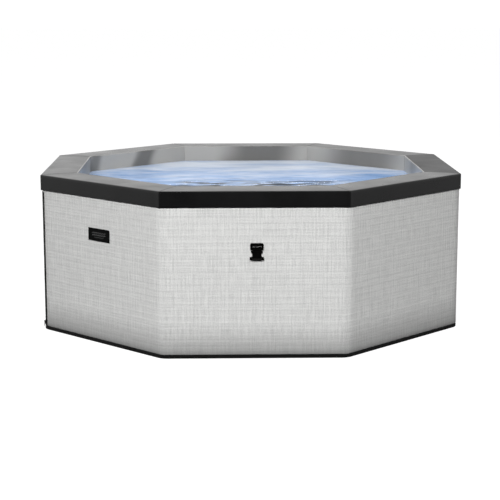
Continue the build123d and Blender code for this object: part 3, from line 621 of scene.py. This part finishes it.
def rim_cover():
    """Vinyl cover over the rim pads: outer face and top, with a sewn welt at each mitre."""
    edge = 3 * MM
    overlap = 3 * MM
    skin = 1.4 * MM
    mitre_sink = 1.3 * MM
    seam_puff = 0.35 * MM
    top_crown = 1.3 * MM
    corners = [(RIM_IN, RIM_TOP - overlap), (RIM_IN, RIM_TOP), (RIM_OUT, RIM_TOP), (RIM_OUT, RIM_BOTTOM)]
    path = divided(rounded(corners, (0.6 * MM, edge)), 9 * MM)
    loop = shell_loop(path, -skin)
    normals = path_normals(path)
    normals = normals + normals[::-1]
    half_length = RIM_OUT * math.tan(HALF_ANGLE)
    places = stations([0, 0.9 * MM, 1.8 * MM, 2.8 * MM, 4.5 * MM, 8 * MM, 16 * MM], 14 * MM, half_length)
    middle = (RIM_IN + RIM_OUT) / 2

    def shift(side, place, k):
        point = loop[k]
        from_mitre = (1 - abs(place)) * half_length
        sunk = mitre_sink * math.exp(-((from_mitre / (1.4 * MM)) ** 2))
        puff = seam_puff * math.exp(-(((from_mitre - 6 * MM) / (4 * MM)) ** 2))
        crown = 0.0
        if point.y > RIM_TOP - overlap:
            crown = top_crown * (1 - ((point.x - middle) / (RIM_OUT - middle)) ** 2)
        wave = noise.noise(swept(side, place, point) * 4) * 0.15 * MM
        return normals[k] * (puff - sunk + wave) + Vector((0, crown))

    part = octagon_sweep(loop, places, shift=shift)
    per_side = len(loop) * (len(places) - 1)
    matt = [RIM_MATT[k // per_side] for k in range(SIDES * per_side)]
    cover = add_piece("rim_cover_vinyl", part, "rim_vinyl", {"matt": matt}, replaces=["rim_cover"])


def rim_apron():
    """Grey vinyl turned over the rim's inner edge and down its inner face, hanging just into the water."""
    top = RIM_TOP + 0.8 * MM
    bottom = WATER_Z - 24 * MM
    face = RIM_IN - 0.8 * MM
    skin = 1.2 * MM
    path = rounded([(face, bottom), (face, top), (RIM_IN + 2 * MM, top)], (0.8 * MM,), 4)
    loop = shell_loop(divided(path, 6 * MM), -skin)
    half_length = RIM_IN * math.tan(HALF_ANGLE)
    places = stations([0, 0.9 * MM, 1.8 * MM, 3 * MM, 6 * MM, 12 * MM], 12 * MM, half_length)
    drift = []

    def shift(side, place, k):
        point = loop[k]
        from_mitre = (1 - abs(place)) * half_length
        weld = 0.6 * MM * math.exp(-((from_mitre / (1.6 * MM)) ** 2))
        where = swept(side, place, point)
        wave = (noise.noise(where * 7) + 0.4 * noise.noise(where * 19)) * 0.9 * MM
        # Painted reflection: how dark the drifts draw the inner vinyl at this point.
        round_at = side + (place + 1) / 2 + (point.y - WATER_Z) * 0.7 + 0.05 * noise.noise(where * 9)
        dark = sum(deep * math.exp(-(((round_at - at) / wide) ** 4)) for at, wide, deep in PAINTED_REFLECTION_DRIFTS)
        drift.append(min(1.0, dark))
        held = ramp(top - point.y, 0.0, 30 * MM)
        return Vector((held * (weld + max(wave, -0.4 * MM)), 0))

    part = octagon_sweep(loop, places, shift=shift)
    add_piece("rim_apron", part, "liner", {"drift": drift}, material=INNER_VINYL)


def rim_stitching():
    """Two rows of thread along each mitre, over the outer face and the top."""
    pitch = 5 * MM
    length = 3 * MM
    thread = 0.35 * MM
    inset = 4.2 * MM
    parts = []
    runs = [
        (lambda t: (RIM_OUT + 0.5 * MM, RIM_BOTTOM + t), RIM_TOP - RIM_BOTTOM - 8 * MM),
        (lambda t: (RIM_IN + 5 * MM + t, RIM_TOP + 1.1 * MM), RIM_OUT - RIM_IN - 12 * MM),
    ]
    for side in range(SIDES):
        for hand in (-1, 1):
            for place_at, reach in runs:
                for k in range(int(reach / pitch)):
                    ends = []
                    for t in (k * pitch + 4 * MM, k * pitch + 4 * MM + length):
                        out, height = place_at(min(t, reach + 4 * MM))
                        ends.append(on_side(side, hand * (out * math.tan(HALF_ANGLE) - inset), out, height))
                    parts.append(capsule(*ends, thread, 4, 5))
    add_piece("rim_stitching", joined(parts), "rim_vinyl", material=THREAD)


def rim_pads():
    """Foam core of each rim section, soft at its edges."""
    inset = 2.5 * MM
    inner, outer = RIM_IN + inset, RIM_OUT - inset
    low, high = RIM_BOTTOM + 0.5 * MM, RIM_TOP - inset
    corners = [(inner, (low + high) / 2), (inner, high), (outer, high), (outer, low), (inner, low)]
    path = divided(rounded(corners + [corners[0]], (4 * MM,) * 4, 3)[:-1], 20 * MM)
    half_length = inner * math.tan(HALF_ANGLE)
    places = [-1 + 1 * MM / half_length + (2 - 2 * MM / half_length) * k / 24 for k in range(25)]
    for side, name in enumerate(SIDE_NAMES):
        part = octagon_sweep(path, places, sides=(side,), capped=True)
        pad = add_piece(f"rim_core_{name}", part, "foam", replaces=[f"rim_pad_{name}"])


# Jacket, mat and liner


def wall_stations(distance, spacing, plain_corner=PLAIN_CORNER_R, exact=()):
    """Points round a wall with round corners, from the zip once round: (x, y), outward and the run so far.

    The zip's corner has its own radius; the other seven share plain_corner.
    """
    points = []

    def turned_corner(side, first, last):
        corner = CORNER_R if side == ZIP_CORNER else plain_corner
        outward, sideways = side_frame(side)
        centre = outward * (distance - corner) + sideways * (distance - corner) * math.tan(HALF_ANGLE)
        steps = max(3, math.ceil(abs(last - first) * corner / (5 * MM)))
        for k in range(steps + 1):
            angle = first + (last - first) * k / steps
            out = Vector((math.cos(angle), math.sin(angle), 0))
            points.append((centre + out * corner, out))

    for turn in range(SIDES):
        side = (ZIP_CORNER + 1 + turn) % SIDES
        heading = 2 * HALF_ANGLE * side
        before = CORNER_R if turn == 0 else plain_corner
        after = CORNER_R if side == ZIP_CORNER else plain_corner
        if turn == 0:
            turned_corner(ZIP_CORNER, ZIP_ANGLE, heading)
        outward, sideways = side_frame(side)
        start = -(distance - before) * math.tan(HALF_ANGLE)
        end = (distance - after) * math.tan(HALF_ANGLE)
        count = math.ceil((end - start) / spacing)
        across = {round(start + (end - start) * k / count, 5) for k in range(1, count)} | set(exact)
        across |= {round(v, 5) for d in (9 * MM, 20 * MM) for v in (start + d, end - d)}
        points += [(outward * distance + sideways * a, outward) for a in sorted(across)]
        turned_corner(side, heading, heading + 2 * HALF_ANGLE if side != ZIP_CORNER else ZIP_ANGLE)
    run, out = 0.0, []
    for k, (place, outward) in enumerate(points):
        if k:
            run += (place - points[k - 1][0]).length
        out.append((place, outward, run))
    return out


def eased_turns(columns, reach):
    """How far each column's shading normal turns from its true one, so that a corner reads softer."""
    headings = [math.atan2(outward.y, outward.x) for _, outward, _ in columns]
    for k in range(1, len(headings)):
        while headings[k] < headings[k - 1] - 1e-6:
            headings[k] += 2 * math.pi
    runs = [run for _, _, run in columns]
    turns = []
    for k, run in enumerate(runs):
        total, samples, nearby = 0.0, 9, 12
        first, last = max(0, k - nearby), min(len(runs) - 1, k + nearby)
        for m in range(samples):
            at = min(max(run + reach * (2 * m / (samples - 1) - 1), runs[0]), runs[-1])
            n = max(j for j in range(first, last) if runs[j] <= at or j == first)
            share = (at - runs[n]) / max(1e-6, runs[n + 1] - runs[n])
            total += headings[n] + (headings[n + 1] - headings[n]) * min(1.0, max(0.0, share))
        turns.append(total / samples - headings[k])
    return turns


def outer_jacket():
    """Woven jacket: drawn in at the hem, flat on its boards, cut out for the equipment case."""
    low, high = JACKET_LOW.z, JACKET_HIGH.z
    hem = 16 * MM
    rows = [low + hem * (1 - math.cos(math.pi / 2 * k / 8)) for k in range(8)]
    count = 56
    rows += [low + hem + (high - low - hem) * k / count for k in range(count + 1)]
    clear = {round(r, 5) for r in rows if all(abs(r - b) > 4 * MM for b in BAY_HEIGHTS)}
    rows = sorted(clear | set(BAY_HEIGHTS))
    columns = wall_stations(WALL_OUT, 14 * MM, exact=(-BAY_HALF, BAY_HALF))
    vertices, along, faces = [], [], []
    for place, outward, run in columns:
        for height in rows:
            above = min(1.0, (height - low) / hem)
            tuck = 9 * MM * (1 - math.sqrt(max(0.0, 1 - (1 - above) ** 2)))
            where = place + Vector((0, 0, height))
            soft = 0.45 * MM * (1 + noise.noise(where * 3.1)) + 0.2 * MM * (1 + noise.noise(where * 11))
            near_edge = min(1.0, (height - low) / 0.05, (high - height) / 0.05)
            vertices.append(where - outward * (tuck + soft * near_edge))
            along.append((run, height, 0.0))
    size = len(rows)
    for c in range(len(columns) - 1):
        middle = (columns[c][0] + columns[c + 1][0]) / 2
        for k in range(size - 1):
            level = (rows[k] + rows[k + 1]) / 2
            in_bay = middle.y > 0 and abs(middle.x) < BAY_HALF and BAY_HEIGHTS[0] < level < BAY_HEIGHTS[1]
            if middle.y > WALL_OUT - 2 * MM and in_bay:
                continue
            a, b = c * size + k, (c + 1) * size + k
            faces.append((a, b, b + 1, a + 1))
    mesh = bpy.data.meshes.new("linen_wall")
    mesh.from_pydata([tuple(v) for v in vertices], [], faces)
    wall = mesh.attributes.new("wall", "FLOAT_VECTOR", "POINT")
    wall.data.foreach_set("vector", [v for triple in along for v in triple])
    thick = bpy.data.objects.new("thick", mesh)
    bpy.context.scene.collection.objects.link(thick)
    solid = thick.modifiers.new("skin", "SOLIDIFY")
    solid.thickness = 1.4 * MM
    solid.offset = -1
    bpy.context.view_layer.update()
    made = bpy.data.meshes.new_from_object(thick.evaluated_get(bpy.context.evaluated_depsgraph_get()))
    bpy.data.objects.remove(thick)
    made.name = "linen_wall"
    finish_piece("linen_wall", made, "jacket", replaces=["outer_jacket"], smooth_angle=50)
    turns = eased_turns(columns, 32 * MM)
    outer = len(columns) * size
    normals = [v.vector.copy() for v in made.vertex_normals]
    for k in range(outer):
        normals[k] = Matrix.Rotation(turns[k // size], 3, "Z") @ normals[k]
    made.normals_split_custom_set_from_vertices([tuple(n) for n in normals])


def hem_binding():
    """Black binding sewn round the foot of the jacket, folded over its hem."""
    low, high = MAT_HIGH.z + 0.3 * MM, MAT_HIGH.z + 6 * MM
    bulge = [(0.0, low), (0.8 * MM, low + 1.2 * MM), (1.1 * MM, (low + high) / 2),
             (0.8 * MM, high - 1 * MM), (-0.4 * MM, high), (-5 * MM, high - 1 * MM), (-5 * MM, low)]
    rings = []
    for place, outward, _ in wall_stations(WALL_OUT - 1.2 * MM, 14 * MM)[:-1]:
        rings.append([place + outward * out + Vector((0, 0, height)) for out, height in bulge])
    add_piece("hem_binding", skinned(rings, looped=True), "webbing", smooth_angle=60)


def base_mat():
    """Foam mat: an eight-sided slab with round corners and soft edges, its top and bottom closed."""
    low, high = MAT_LOW.z, MAT_HIGH.z
    edge = 2.5 * MM
    closing = 0.05
    rim = wall_stations(MAT_HIGH.x, 20 * MM, CORNER_R)[:-1]
    turns = [math.pi / 2 * k / 4 for k in range(5)]
    lower = [(edge * (1 - math.sin(turn)), low + edge * (1 - math.cos(turn))) for turn in turns]
    upper = [(edge * (1 - math.cos(turn)), high - edge * (1 - math.sin(turn))) for turn in turns]
    rings = []
    for inset, height in [(closing, low)] + lower + upper + [(closing, high)]:
        rings.append([place - outward * inset + Vector((0, 0, height)) for place, outward, _ in rim])
    add_piece("base_mat", skinned(rings), "mat_black", replaces=["ground_mat"])


def liner():
    """Grey liner: floor and walls in one skin, with a welded strip up each corner."""
    skin = 1.5 * MM
    floor = LINER_LOW + 3 * MM
    wall = LINER_IN + 0.6 * MM
    path = rounded([(0.02, floor), (wall, floor), (wall, RIM_BOTTOM - 5 * MM)], (14 * MM,), 6)
    loop = shell_loop(divided(path, 30 * MM), -skin)
    half_length = LINER_IN * math.tan(HALF_ANGLE)
    places = stations([0, 6 * MM, 6.6 * MM, 12 * MM], 40 * MM, half_length)

    def shift(side, place, k):
        point = loop[k]
        wave = noise.noise(swept(side, place, point) * 5) * 0.4 * MM
        if point.x <= LINER_IN - 2 * MM:
            return Vector((0, wave))
        weld = -0.5 * MM if (1 - abs(place)) * half_length < 6.2 * MM else 0
        return Vector((weld + wave, 0))

    vertices, faces = octagon_sweep(loop, places, shift=shift)
    size, columns = len(loop), SIDES * (len(places) - 1)
    faces = [f for f in faces if not (f[0] % size == size - 1 and f[1] % size == 0)]
    faces.append(tuple(c * size for c in range(columns)))
    faces.append(tuple(c * size + size - 1 for c in reversed(range(columns))))
    add_piece("liner_skin", (vertices, faces), "liner", replaces=["liner"])


# Zip, badge and buckle straps


def zip_place(across, out, height):
    """Point on the zip's corner: across from its middle line, out from the jacket."""
    outward, sideways = side_frame(ZIP_CORNER)
    reach = WALL_OUT - CORNER_R
    angle = ZIP_ANGLE + across / CORNER_R
    facing = Vector((math.cos(angle), math.sin(angle), 0))
    centre = outward * reach + sideways * reach * math.tan(HALF_ANGLE)
    return centre + facing * (CORNER_R + out) + Vector((0, 0, height))


def zip_fastener():
    """Two sewn tapes with their teeth meshed between them."""
    low, high = (corner.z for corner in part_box("zip_tape"))
    inner = 3.4 * MM
    profile = [(inner, 0.4), (inner + 0.4 * MM, 1.3), (inner + 2 * MM, 1.5),
               (ZIP_HALF_WIDTH - 1.5 * MM, 1.35), (ZIP_HALF_WIDTH, 0.8), (ZIP_HALF_WIDTH, 0.3), (inner, 0.2)]
    rows = math.ceil((high - low) / (4 * MM))
    tapes = []
    for hand in (-1, 1):
        rings = []
        for r in range(rows + 1):
            height = low + (high - low) * r / rows
            ring = []
            for across, out in profile:
                ease = 0.12 * noise.noise(Vector((across * 90, height * 30, hand)))
                ring.append(zip_place(hand * across, (out + ease * (out > 0.5)) * MM, height))
            rings.append(ring)
        tapes.append(skinned(rings))
    add_piece("zip_tapes", joined(tapes), "zip", replaces=["zip_tape"])

    pitch = 4.2 * MM
    tooth = block((-0.7 * MM, 0.5 * MM, -0.8 * MM), (3.9 * MM, 2.7 * MM, 0.8 * MM), 0.35 * MM)
    teeth = []
    for k in range(int((high - low - 8 * MM) / pitch)):
        for hand in (-1, 1):
            level = low + 4 * MM + pitch * (k + (0.5 if hand > 0 else 0))
            teeth.append(moved(tooth, lambda x, y, z: zip_place(hand * x, y, level + z)))
    add_piece("zip_teeth", joined(teeth), "zip_metal")

    seams = []
    for across in (-ZIP_HALF_WIDTH + 2.6 * MM, -6.4 * MM, 6.4 * MM, ZIP_HALF_WIDTH - 2.6 * MM):
        level = low + 3 * MM
        while level < high - 4 * MM:
            ends = [zip_place(across, 1.5 * MM, height) for height in (level, level + 2.6 * MM)]
            seams.append(capsule(*ends, 0.3 * MM, 4, 5))
            level += 4 * MM
    add_piece("zip_stitching", joined(seams), "zip", material=THREAD)


def badge_mark():
    """Plain wave lines on the badge, in grey."""
    low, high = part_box("badge")
    middle_z = (low.z + high.z) / 2
    face = WALL_OUT + 1.95 * MM
    parts = []
    for level, half, rise, radius in ((7.5, 42, 2.6, 1.15), (-1.5, 42, 2.6, 1.15), (-11.5, 30, 1.2, 0.7)):
        count = 72
        points = []
        for k in range(count + 1):
            x = (-half + 2 * half * k / count) * MM
            points.append((x, face, middle_z + (level + rise * math.sin(x / MM * 2 * math.pi / 14)) * MM))
        parts.append(stroke(points, radius * MM, lambda v: on_wall("front_left", *v)))
    add_piece("badge_waves", joined(parts), "badge", material=MARK_GREY)


def ribbed_strip(path, half_width, thickness, closed=False):
    """Webbing along a path in (y, z), with low ribs along it and rolled edges."""
    across = [half_width * (2 * k / 38 - 1) for k in range(39)]
    count = len(path)
    rings = []
    for k in range(count):
        before = path[k - 1] if closed or k else path[0]
        after = path[(k + 1) % count] if closed or k < count - 1 else path[k]
        along = (after - before).normalized()
        normal = Vector((-along.y, along.x))
        ring = []
        for hand in (1, -1):
            for m, x in enumerate(across[::hand]):
                edge = 1 - (abs(x) / half_width) ** 12
                rib = 0.10 * MM * (m % 2)
                away = hand * (thickness / 2 * (0.35 + 0.65 * edge) + rib * edge)
                point = path[k] + normal * away
                ring.append(Vector((x, point.x, point.y)))
        rings.append(ring)
    return skinned(rings, looped=closed)


def buckle_straps():
    """Webbing patch sewn under each buckle, and the loop that holds its socket."""
    half_width = 19 * MM

    def straight(start, end, longest, thickness):
        path = [Vector((WALL_OUT + y * MM, z * MM)) for y, z in (start, end)]
        return ribbed_strip(divided(path, longest), half_width, thickness)

    patch = straight((1.0, -31), (1.0, 8), 3 * MM, 1.3 * MM)
    tie = straight((1.6, -28.6), (4.2, -29.6), 1 * MM, 1.3 * MM)
    middle = Vector((WALL_OUT + 7.8 * MM, -30.95 * MM))
    loop_path = []
    for k in range(28):
        angle = 2 * math.pi * k / 28
        c, t = math.cos(angle), math.sin(angle)
        squarish = (abs(c) ** 4 + abs(t) ** 4) ** -0.25
        loop_path.append(middle + Vector((4.1 * MM * c * squarish, 3.9 * MM * t * squarish)))
    loop = ribbed_strip(loop_path, half_width, 1.1 * MM, closed=True)

    # A sewn box with a cross in it: its corners, and the pitch and length of a stitch, in millimetres
    low, high = -24, 4
    corners = [(-15, low), (15, low), (15, high), (-15, high), (-15, low)]
    corners += [(15, high), (15, low), (-15, high)]
    pitch, stitch = 3.2, 2.1
    threads = []
    for (xa, za), (xb, zb) in zip(corners, corners[1:]):
        length = math.hypot(xb - xa, zb - za)
        for k in range(int(length / pitch)):
            ends = []
            for t in (k * pitch / length, (k * pitch + stitch) / length):
                x, z = xa + (xb - xa) * t, za + (zb - za) * t
                ends.append(Vector((x * MM, WALL_OUT + 1.85 * MM, z * MM)))
            threads.append(capsule(*ends, 0.28 * MM, 4, 5))
    straps, seams = [], []
    for side, (x, z) in BUCKLES.items():
        def place(px, py, pz, side=side, x=x, z=z):
            return on_wall(side, px + x, py, pz + z)
        straps += [moved(part, place) for part in (patch, loop, tie)]
        seams.append(moved(joined(threads), place))
    add_piece("buckle_straps", joined(straps), "webbing", replaces=["buckle_webbing"])
    add_piece("buckle_strap_seams", joined(seams), "webbing", material=THREAD)


# Equipment bay


def door_hoods():
    """A rolled hood over each louvre slot of the door."""
    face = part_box("service_door")[1].y
    profile = [(-0.4, 6.2), (0.5, 5.9), (1.5, 4.9), (2.2, 3.4), (2.5, 1.6), (2.5, 0.2), (1.7, 0.2),
               (1.6, 1.8), (1.1, 3.2), (0.4, 4.1), (-0.4, 4.4)]
    half = 1.02 * LOUVRE_HALF
    count = 40
    parts = []
    for level in LOUVRE_LEVELS:
        rings = []
        for k in range(count + 1):
            x = half * (2 * k / count - 1)
            end = max(0.0, 1 - (abs(x) / half) ** 60)
            ring = []
            for out, drop in profile:
                ring.append(Vector((x, face + min(out, 0.4 + out * end) * MM, level + drop * MM)))
            rings.append(ring)
        parts.append(skinned(rings))
    add_piece("door_hoods", joined(parts), "case", body="door")


def case_screws():
    """Socket-head screws round the flange."""
    profile = [(3.7, -0.3), (3.7, 0.5), (3.4, 1.1), (2.6, 1.65), (1.75, 1.85), (1.6, 1.75),
               (1.6, 0.7), (0.1, 0.6)]

    def reach(k, angle):
        if k < 5:
            return 1
        sixth = math.pi / 3
        return 0.88 / math.cos(angle % sixth - sixth / 2)

    screw = lathe([(r * MM, y * MM) for r, y in profile], 36, reach)
    places = [(x, z) for x in (-239.6, 239.6) for z in (170, 330, 480)]
    places += [(x, 103.4) for x in (-200, -70, 70, 200)] + [(x, 510.6) for x in (-170, 0, 170)]
    parts = []
    for x, z in places:
        head = Vector((x * MM, FLANGE_FACE_Y, z * MM))
        parts.append(moved(screw, lambda *point: Vector(point) + head))
    add_piece("case_screws", joined(parts), "steel")


def panel_display():
    """Display window in the panel's recess, with a two-figure temperature."""
    low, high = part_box("control_panel")
    middle_z = (low.z + high.z) / 2
    floor = high.y - 1 * MM
    x0, x1 = high.x - 92 * MM, high.x - 14 * MM
    centre_x, half_height = (x0 + x1) / 2, 18.6 * MM
    window_low = (x0 + 0.4 * MM, floor, middle_z - half_height)
    window_high = (x1 - 0.4 * MM, floor + 0.6 * MM, middle_z + half_height)
    add_piece("panel_window", block(window_low, window_high, 0.3 * MM), "panel", material=DISPLAY)
    bars = {"top": (0, 9, 0), "upper_left": (-1, 4.5, 1), "upper_right": (1, 4.5, 1), "middle": (0, 0, 0),
            "lower_left": (-1, -4.5, 1), "lower_right": (1, -4.5, 1), "bottom": (0, -9, 0)}
    figures = {3: ("top", "upper_right", "middle", "lower_right", "bottom"), 8: tuple(bars)}
    parts = []
    for figure, centre in ((3, centre_x + 10.5 * MM), (8, centre_x - 10.5 * MM)):
        for bar in figures[figure]:
            side, level, upright = bars[bar]
            half_x, half_z = (0.9, 3.7) if upright else (3.7, 0.9)
            x = centre - side * 4.8 * MM
            z = middle_z + level * MM
            parts.append(block((x - half_x * MM, floor + 0.5 * MM, z - half_z * MM),
                               (x + half_x * MM, floor + 0.75 * MM, z + half_z * MM), 0.12 * MM))
    add_piece("panel_figures", joined(parts), "panel", material=DIGIT)


def ring_points(x, z, radius, first=0.0, last=360.0):
    """Points of a ring or an arc, its ends in degrees."""
    count = 20
    steps = [math.radians(first + (last - first) * k / count) for k in range(count + 1)]
    return [(x + radius * math.cos(a), z + radius * math.sin(a)) for a in steps]


def button_marks():
    """A plain symbol raised on each button."""
    wave = [(0.9 * math.sin(k / 12 * 2 * math.pi), -3.2 + 6.4 * k / 12) for k in range(13)]
    drop = [(0, 4)] + [(2.7 * math.cos(math.radians(a)), -1.2 + 2.7 * math.sin(math.radians(a)))
                       for a in range(30, -211, -20)] + [(0, 4)]
    symbols = {
        "power": [ring_points(0, -0.4, 3.4, -230, 50), [(0, 0.4), (0, 4.2)]],
        "heat": [[(x + offset, z) for x, z in wave] for offset in (-3, 0, 3)],
        "filter": [drop],
        "bubbles": [ring_points(-1.9, -1.4, 2.0), ring_points(2.4, -0.4, 1.4), ring_points(0.2, 2.8, 1.3)],
    }
    for name, lines in symbols.items():
        low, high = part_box(f"button_{name}")
        middle = (low + high) / 2
        parts = []
        for line in lines:
            points = [(middle.x - x * MM, high.y, middle.z + z * MM) for x, z in line]
            parts.append(stroke(points, 0.32 * MM))
        add_piece(f"mark_{name}", joined(parts), "button", body=f"{name}_button", material=SYMBOL_DARK)


# Water


def chop_at(x, y):
    """Unevenness of the water over the air inlets, in long crests across the tub."""
    broad = noise.noise(Vector((x * 6.5 + 3, y * 20, 4.2)))
    return broad + 0.45 * noise.noise(Vector((x * 15, y * 44, 8.7)))


def crest_at(x, y):
    """Where air boils up: rise of the crest, froth on its back and painted shade on its front."""
    ragged = 0.14 * noise.noise(Vector((x * 4, y * 4, 6.1)))
    ragged += 0.05 * noise.noise(Vector((x * 13, y * 13, 2)))
    boil = ramp(abs(x - 0.02) + ragged, 0.48, 0.26) * ramp(y, 0.0, -0.10) * ramp(y + ragged, -0.56, -0.34)
    if boil == 0:
        return 0.0, 0.0, 0.0
    value = chop_at(x, y)
    slope = (chop_at(x, y + 6 * MM) - value) / 0.12
    rise = 7 * MM * boil * max(0.0, value + 0.15)
    froth = boil * ramp(value, -0.05, 0.3) * ramp(slope, 0.25, -0.35)
    # Painted shade on the front faces of the crests.
    dark = boil * ramp(slope, 0.25, 0.7) * ramp(value, -0.75, -0.2)
    return rise, froth, dark


def water_height(x, y):
    """Gently moving surface, rougher towards the front."""
    where = Vector((x, y, 0))
    rough = 0.25 + 0.75 * ramp(y, 0.15, -0.15)
    chop = noise.fractal(Vector((x * 6, y * 9, 1.3)), 0.9, 2.0, 3)
    boil = noise.noise(where * 22 + Vector((7, 3, 1)))
    swell = noise.noise(Vector((x * 2.1, y * 3.4, 9)))
    return rough * (3.0 * MM * chop + 0.9 * MM * boil) + 0.9 * MM * swell


def water_grid(rings, per_side, reach):
    """Points (x, y) over an octagon, as rings from the middle out."""
    grid = []
    for r in range(1, rings + 1):
        out = reach * r / rings
        row = []
        for side in range(SIDES):
            for k in range(per_side):
                place = -1 + 2 * k / per_side
                point = on_side(side, place * out * math.tan(HALF_ANGLE), out, 0)
                row.append((point.x, point.y))
        grid.append(row)
    return grid


def water():
    """Top of the water as a closed layer with a flat underside, in crests where air comes up."""
    reach = RIM_IN - 0.6 * MM
    layer = 60 * MM
    grid = water_grid(170, 84, reach)
    count = len(grid[0])
    points = [(0.0, 0.0)] + [point for row in grid for point in row]
    vertices, foam_at, painted_crest_shade, painted_reflection_to_blue = [], [], [], []
    for x, y in points:
        speckle = noise.noise(Vector((x * 38, y * 60, 3)))
        rise, froth, dark = crest_at(x, y)
        vertices.append(Vector((x, y, WATER_Z + water_height(x, y) + rise)))
        foam_at.append(min(1.0, froth * (0.85 + 0.5 * speckle)))
        # Painted shade in front of the crests.
        painted_crest_shade.append(0.95 * dark)
        # Painted reflection: low at the back, where the water is drawn pale, high towards the front, where
        # it is drawn deep blue.
        painted_reflection_to_blue.append(0.05 + 0.85 * ramp(y, 0.55, 0.06) + 0.1 * ramp(y, 0.0, -0.1))
    faces = [(0, 1 + c, 1 + (c + 1) % count) for c in range(count)]
    for r in range(len(grid) - 1):
        a, b = 1 + r * count, 1 + (r + 1) * count
        for c in range(count):
            n = (c + 1) % count
            faces.append((a + c, b + c, b + n, a + n))
    under = len(vertices)
    edge = 1 + (len(grid) - 1) * count
    vertices += [Vector((x, y, WATER_Z - layer)) for x, y in grid[-1]]
    for c in range(count):
        n = (c + 1) % count
        faces.append((edge + c, under + c, under + n, edge + n))
    faces.append(tuple(range(under, under + count)))
    values = {"foam": foam_at, "painted_crest_shade": painted_crest_shade, "painted_reflection_to_blue": painted_reflection_to_blue}
    values = {name: numbers + [0.0] * count for name, numbers in values.items()}
    add_piece("water", (vertices, faces), "water", values, smooth_angle=60)


def bubbles():
    """Small bubbles caught in the froth."""
    form = bmesh.new()
    for _ in range(2600):
        x, y = random.uniform(-0.45, 0.48), random.uniform(-0.6, 0.0)
        rise, froth, _ = crest_at(x, y)
        if froth < 0.55:
            continue
        size = random.choice((1.4, 1.8, 2.4)) * MM
        height = WATER_Z + water_height(x, y) + rise + 0.1 * size
        matrix = Matrix.Translation((x, y, height)) @ Matrix.Diagonal((size, size, 0.8 * size, 1))
        bmesh.ops.create_icosphere(form, subdivisions=2, radius=1, matrix=matrix)
    mesh = bpy.data.meshes.new("bubbles")
    form.to_mesh(mesh)
    form.free()
    finish_piece("bubbles", mesh, "water", material=FOAM_WHITE, smooth_angle=80)


# Camera, light and floor


def camera():
    data = bpy.data.cameras.new("camera")
    data.lens = 100.77
    data.sensor_width = 36
    data.clip_end = 400
    made = bpy.data.objects.new("camera", data)
    bpy.context.scene.collection.objects.link(made)
    made.location = (-0.1547, -6.4987, 1.4679)
    yaw, pitch = math.radians(1.388), math.radians(10.317)
    aim = Vector((math.sin(yaw) * math.cos(pitch), math.cos(yaw) * math.cos(pitch), -math.sin(pitch)))
    made.rotation_euler = aim.to_track_quat("-Z", "Y").to_euler()
    bpy.context.scene.camera = made


def softbox(name, place, target, size, power):
    data = bpy.data.lights.new(name, "AREA")
    data.shape = "RECTANGLE"
    data.size, data.size_y = size
    data.energy = power
    made = bpy.data.objects.new(name, data)
    bpy.context.scene.collection.objects.link(made)
    made.location = place
    made.rotation_euler = (Vector(target) - Vector(place)).to_track_quat("-Z", "Y").to_euler()
    made.visible_camera = False
    return made


def studio():
    """White floor that takes only shadows, soft lights, and surroundings dim in front and bright behind."""
    mesh = bpy.data.meshes.new("floor")
    form = bmesh.new()
    bmesh.ops.create_grid(form, x_segments=1, y_segments=1, size=60)
    form.to_mesh(mesh)
    form.free()
    floor = bpy.data.objects.new("floor", mesh)
    bpy.context.scene.collection.objects.link(floor)
    floor.location.z = -0.0005
    made, _, shader, _ = new_material("floor_white", (0.45, 0.45, 0.45), 0.9, specular=0.0)
    shader.inputs["Emission Color"].default_value = (1, 1, 1, 1)
    shader.inputs["Emission Strength"].default_value = 0.75
    mesh.materials.append(made)
    floor.visible_glossy = False
    floor.visible_diffuse = False

    world = bpy.data.worlds.new("studio")
    bpy.context.scene.world = world
    world.use_nodes = True
    tree = world.node_tree
    background = tree.nodes["Background"]
    heading = add_node(tree, "ShaderNodeTexCoord").outputs["Generated"]
    axes = add_node(tree, "ShaderNodeSeparateXYZ", {0: heading})
    level = in_range(tree, axes.outputs["Y"], -0.35, 0.32, 0.02, 0.97)
    lean = in_range(tree, axes.outputs["X"], -0.3, 0.3, 1.25, 0.95)
    below = in_range(tree, axes.outputs["Z"], -0.30, 0.05, 0.2, 1.0)
    level = math_of(tree, "MULTIPLY", math_of(tree, "MULTIPLY", level, lean), below)
    seen = add_node(tree, "ShaderNodeLightPath").outputs["Is Camera Ray"]
    strength = math_of(tree, "MAXIMUM", level, math_of(tree, "MULTIPLY", seen, 1.2))
    tree.links.new(strength, background.inputs["Strength"])
    background.inputs["Color"].default_value = (1, 1, 1, 1)

    middle = (0, 0, 0.35)
    softbox("key", (-0.75, -8.0, 4.0), middle, (3.6, 2.8), 705).visible_glossy = False
    softbox("fill", (3.6, -3.6, 2.6), middle, (2.0, 2.0), 6)
    softbox("top", (0, 0.6, 4.2), (0, 0, 0.5), (3.5, 3.5), 30)
    view = bpy.context.scene.view_settings
    view.view_transform = "Standard"
    view.look = "None"


def dress_cad_nodes():
    """Give every carried-over CAD node its slot's material, and the small plastic ones a soft edge."""
    for entry in frame["record"]["subparts"]:
        piece = frame["nodes"][entry["node"]]
        piece.data.materials.clear()
        piece.data.materials.append(MATERIALS[entry["material_slot"]])
    fine = [n for n in frame["nodes"] if n.startswith(("buckle_plug", "buckle_prong", "button"))]
    for name in fine + ["buckle_sockets", "badge"]:
        bevel = frame["nodes"][name].modifiers.new("edge", "BEVEL")
        bevel.width = 0.5 * MM
        bevel.segments = 2
        bevel.limit_method = "ANGLE"
        bevel.angle_limit = math.radians(40)
        bevel.harden_normals = False


camera()
studio()
dress_cad_nodes()
rim_cover()
rim_apron()
rim_stitching()
rim_pads()
outer_jacket()
hem_binding()
zip_fastener()
badge_mark()
buckle_straps()
door_hoods()
case_screws()
panel_display()
button_marks()
base_mat()
liner()
water()
bubbles()
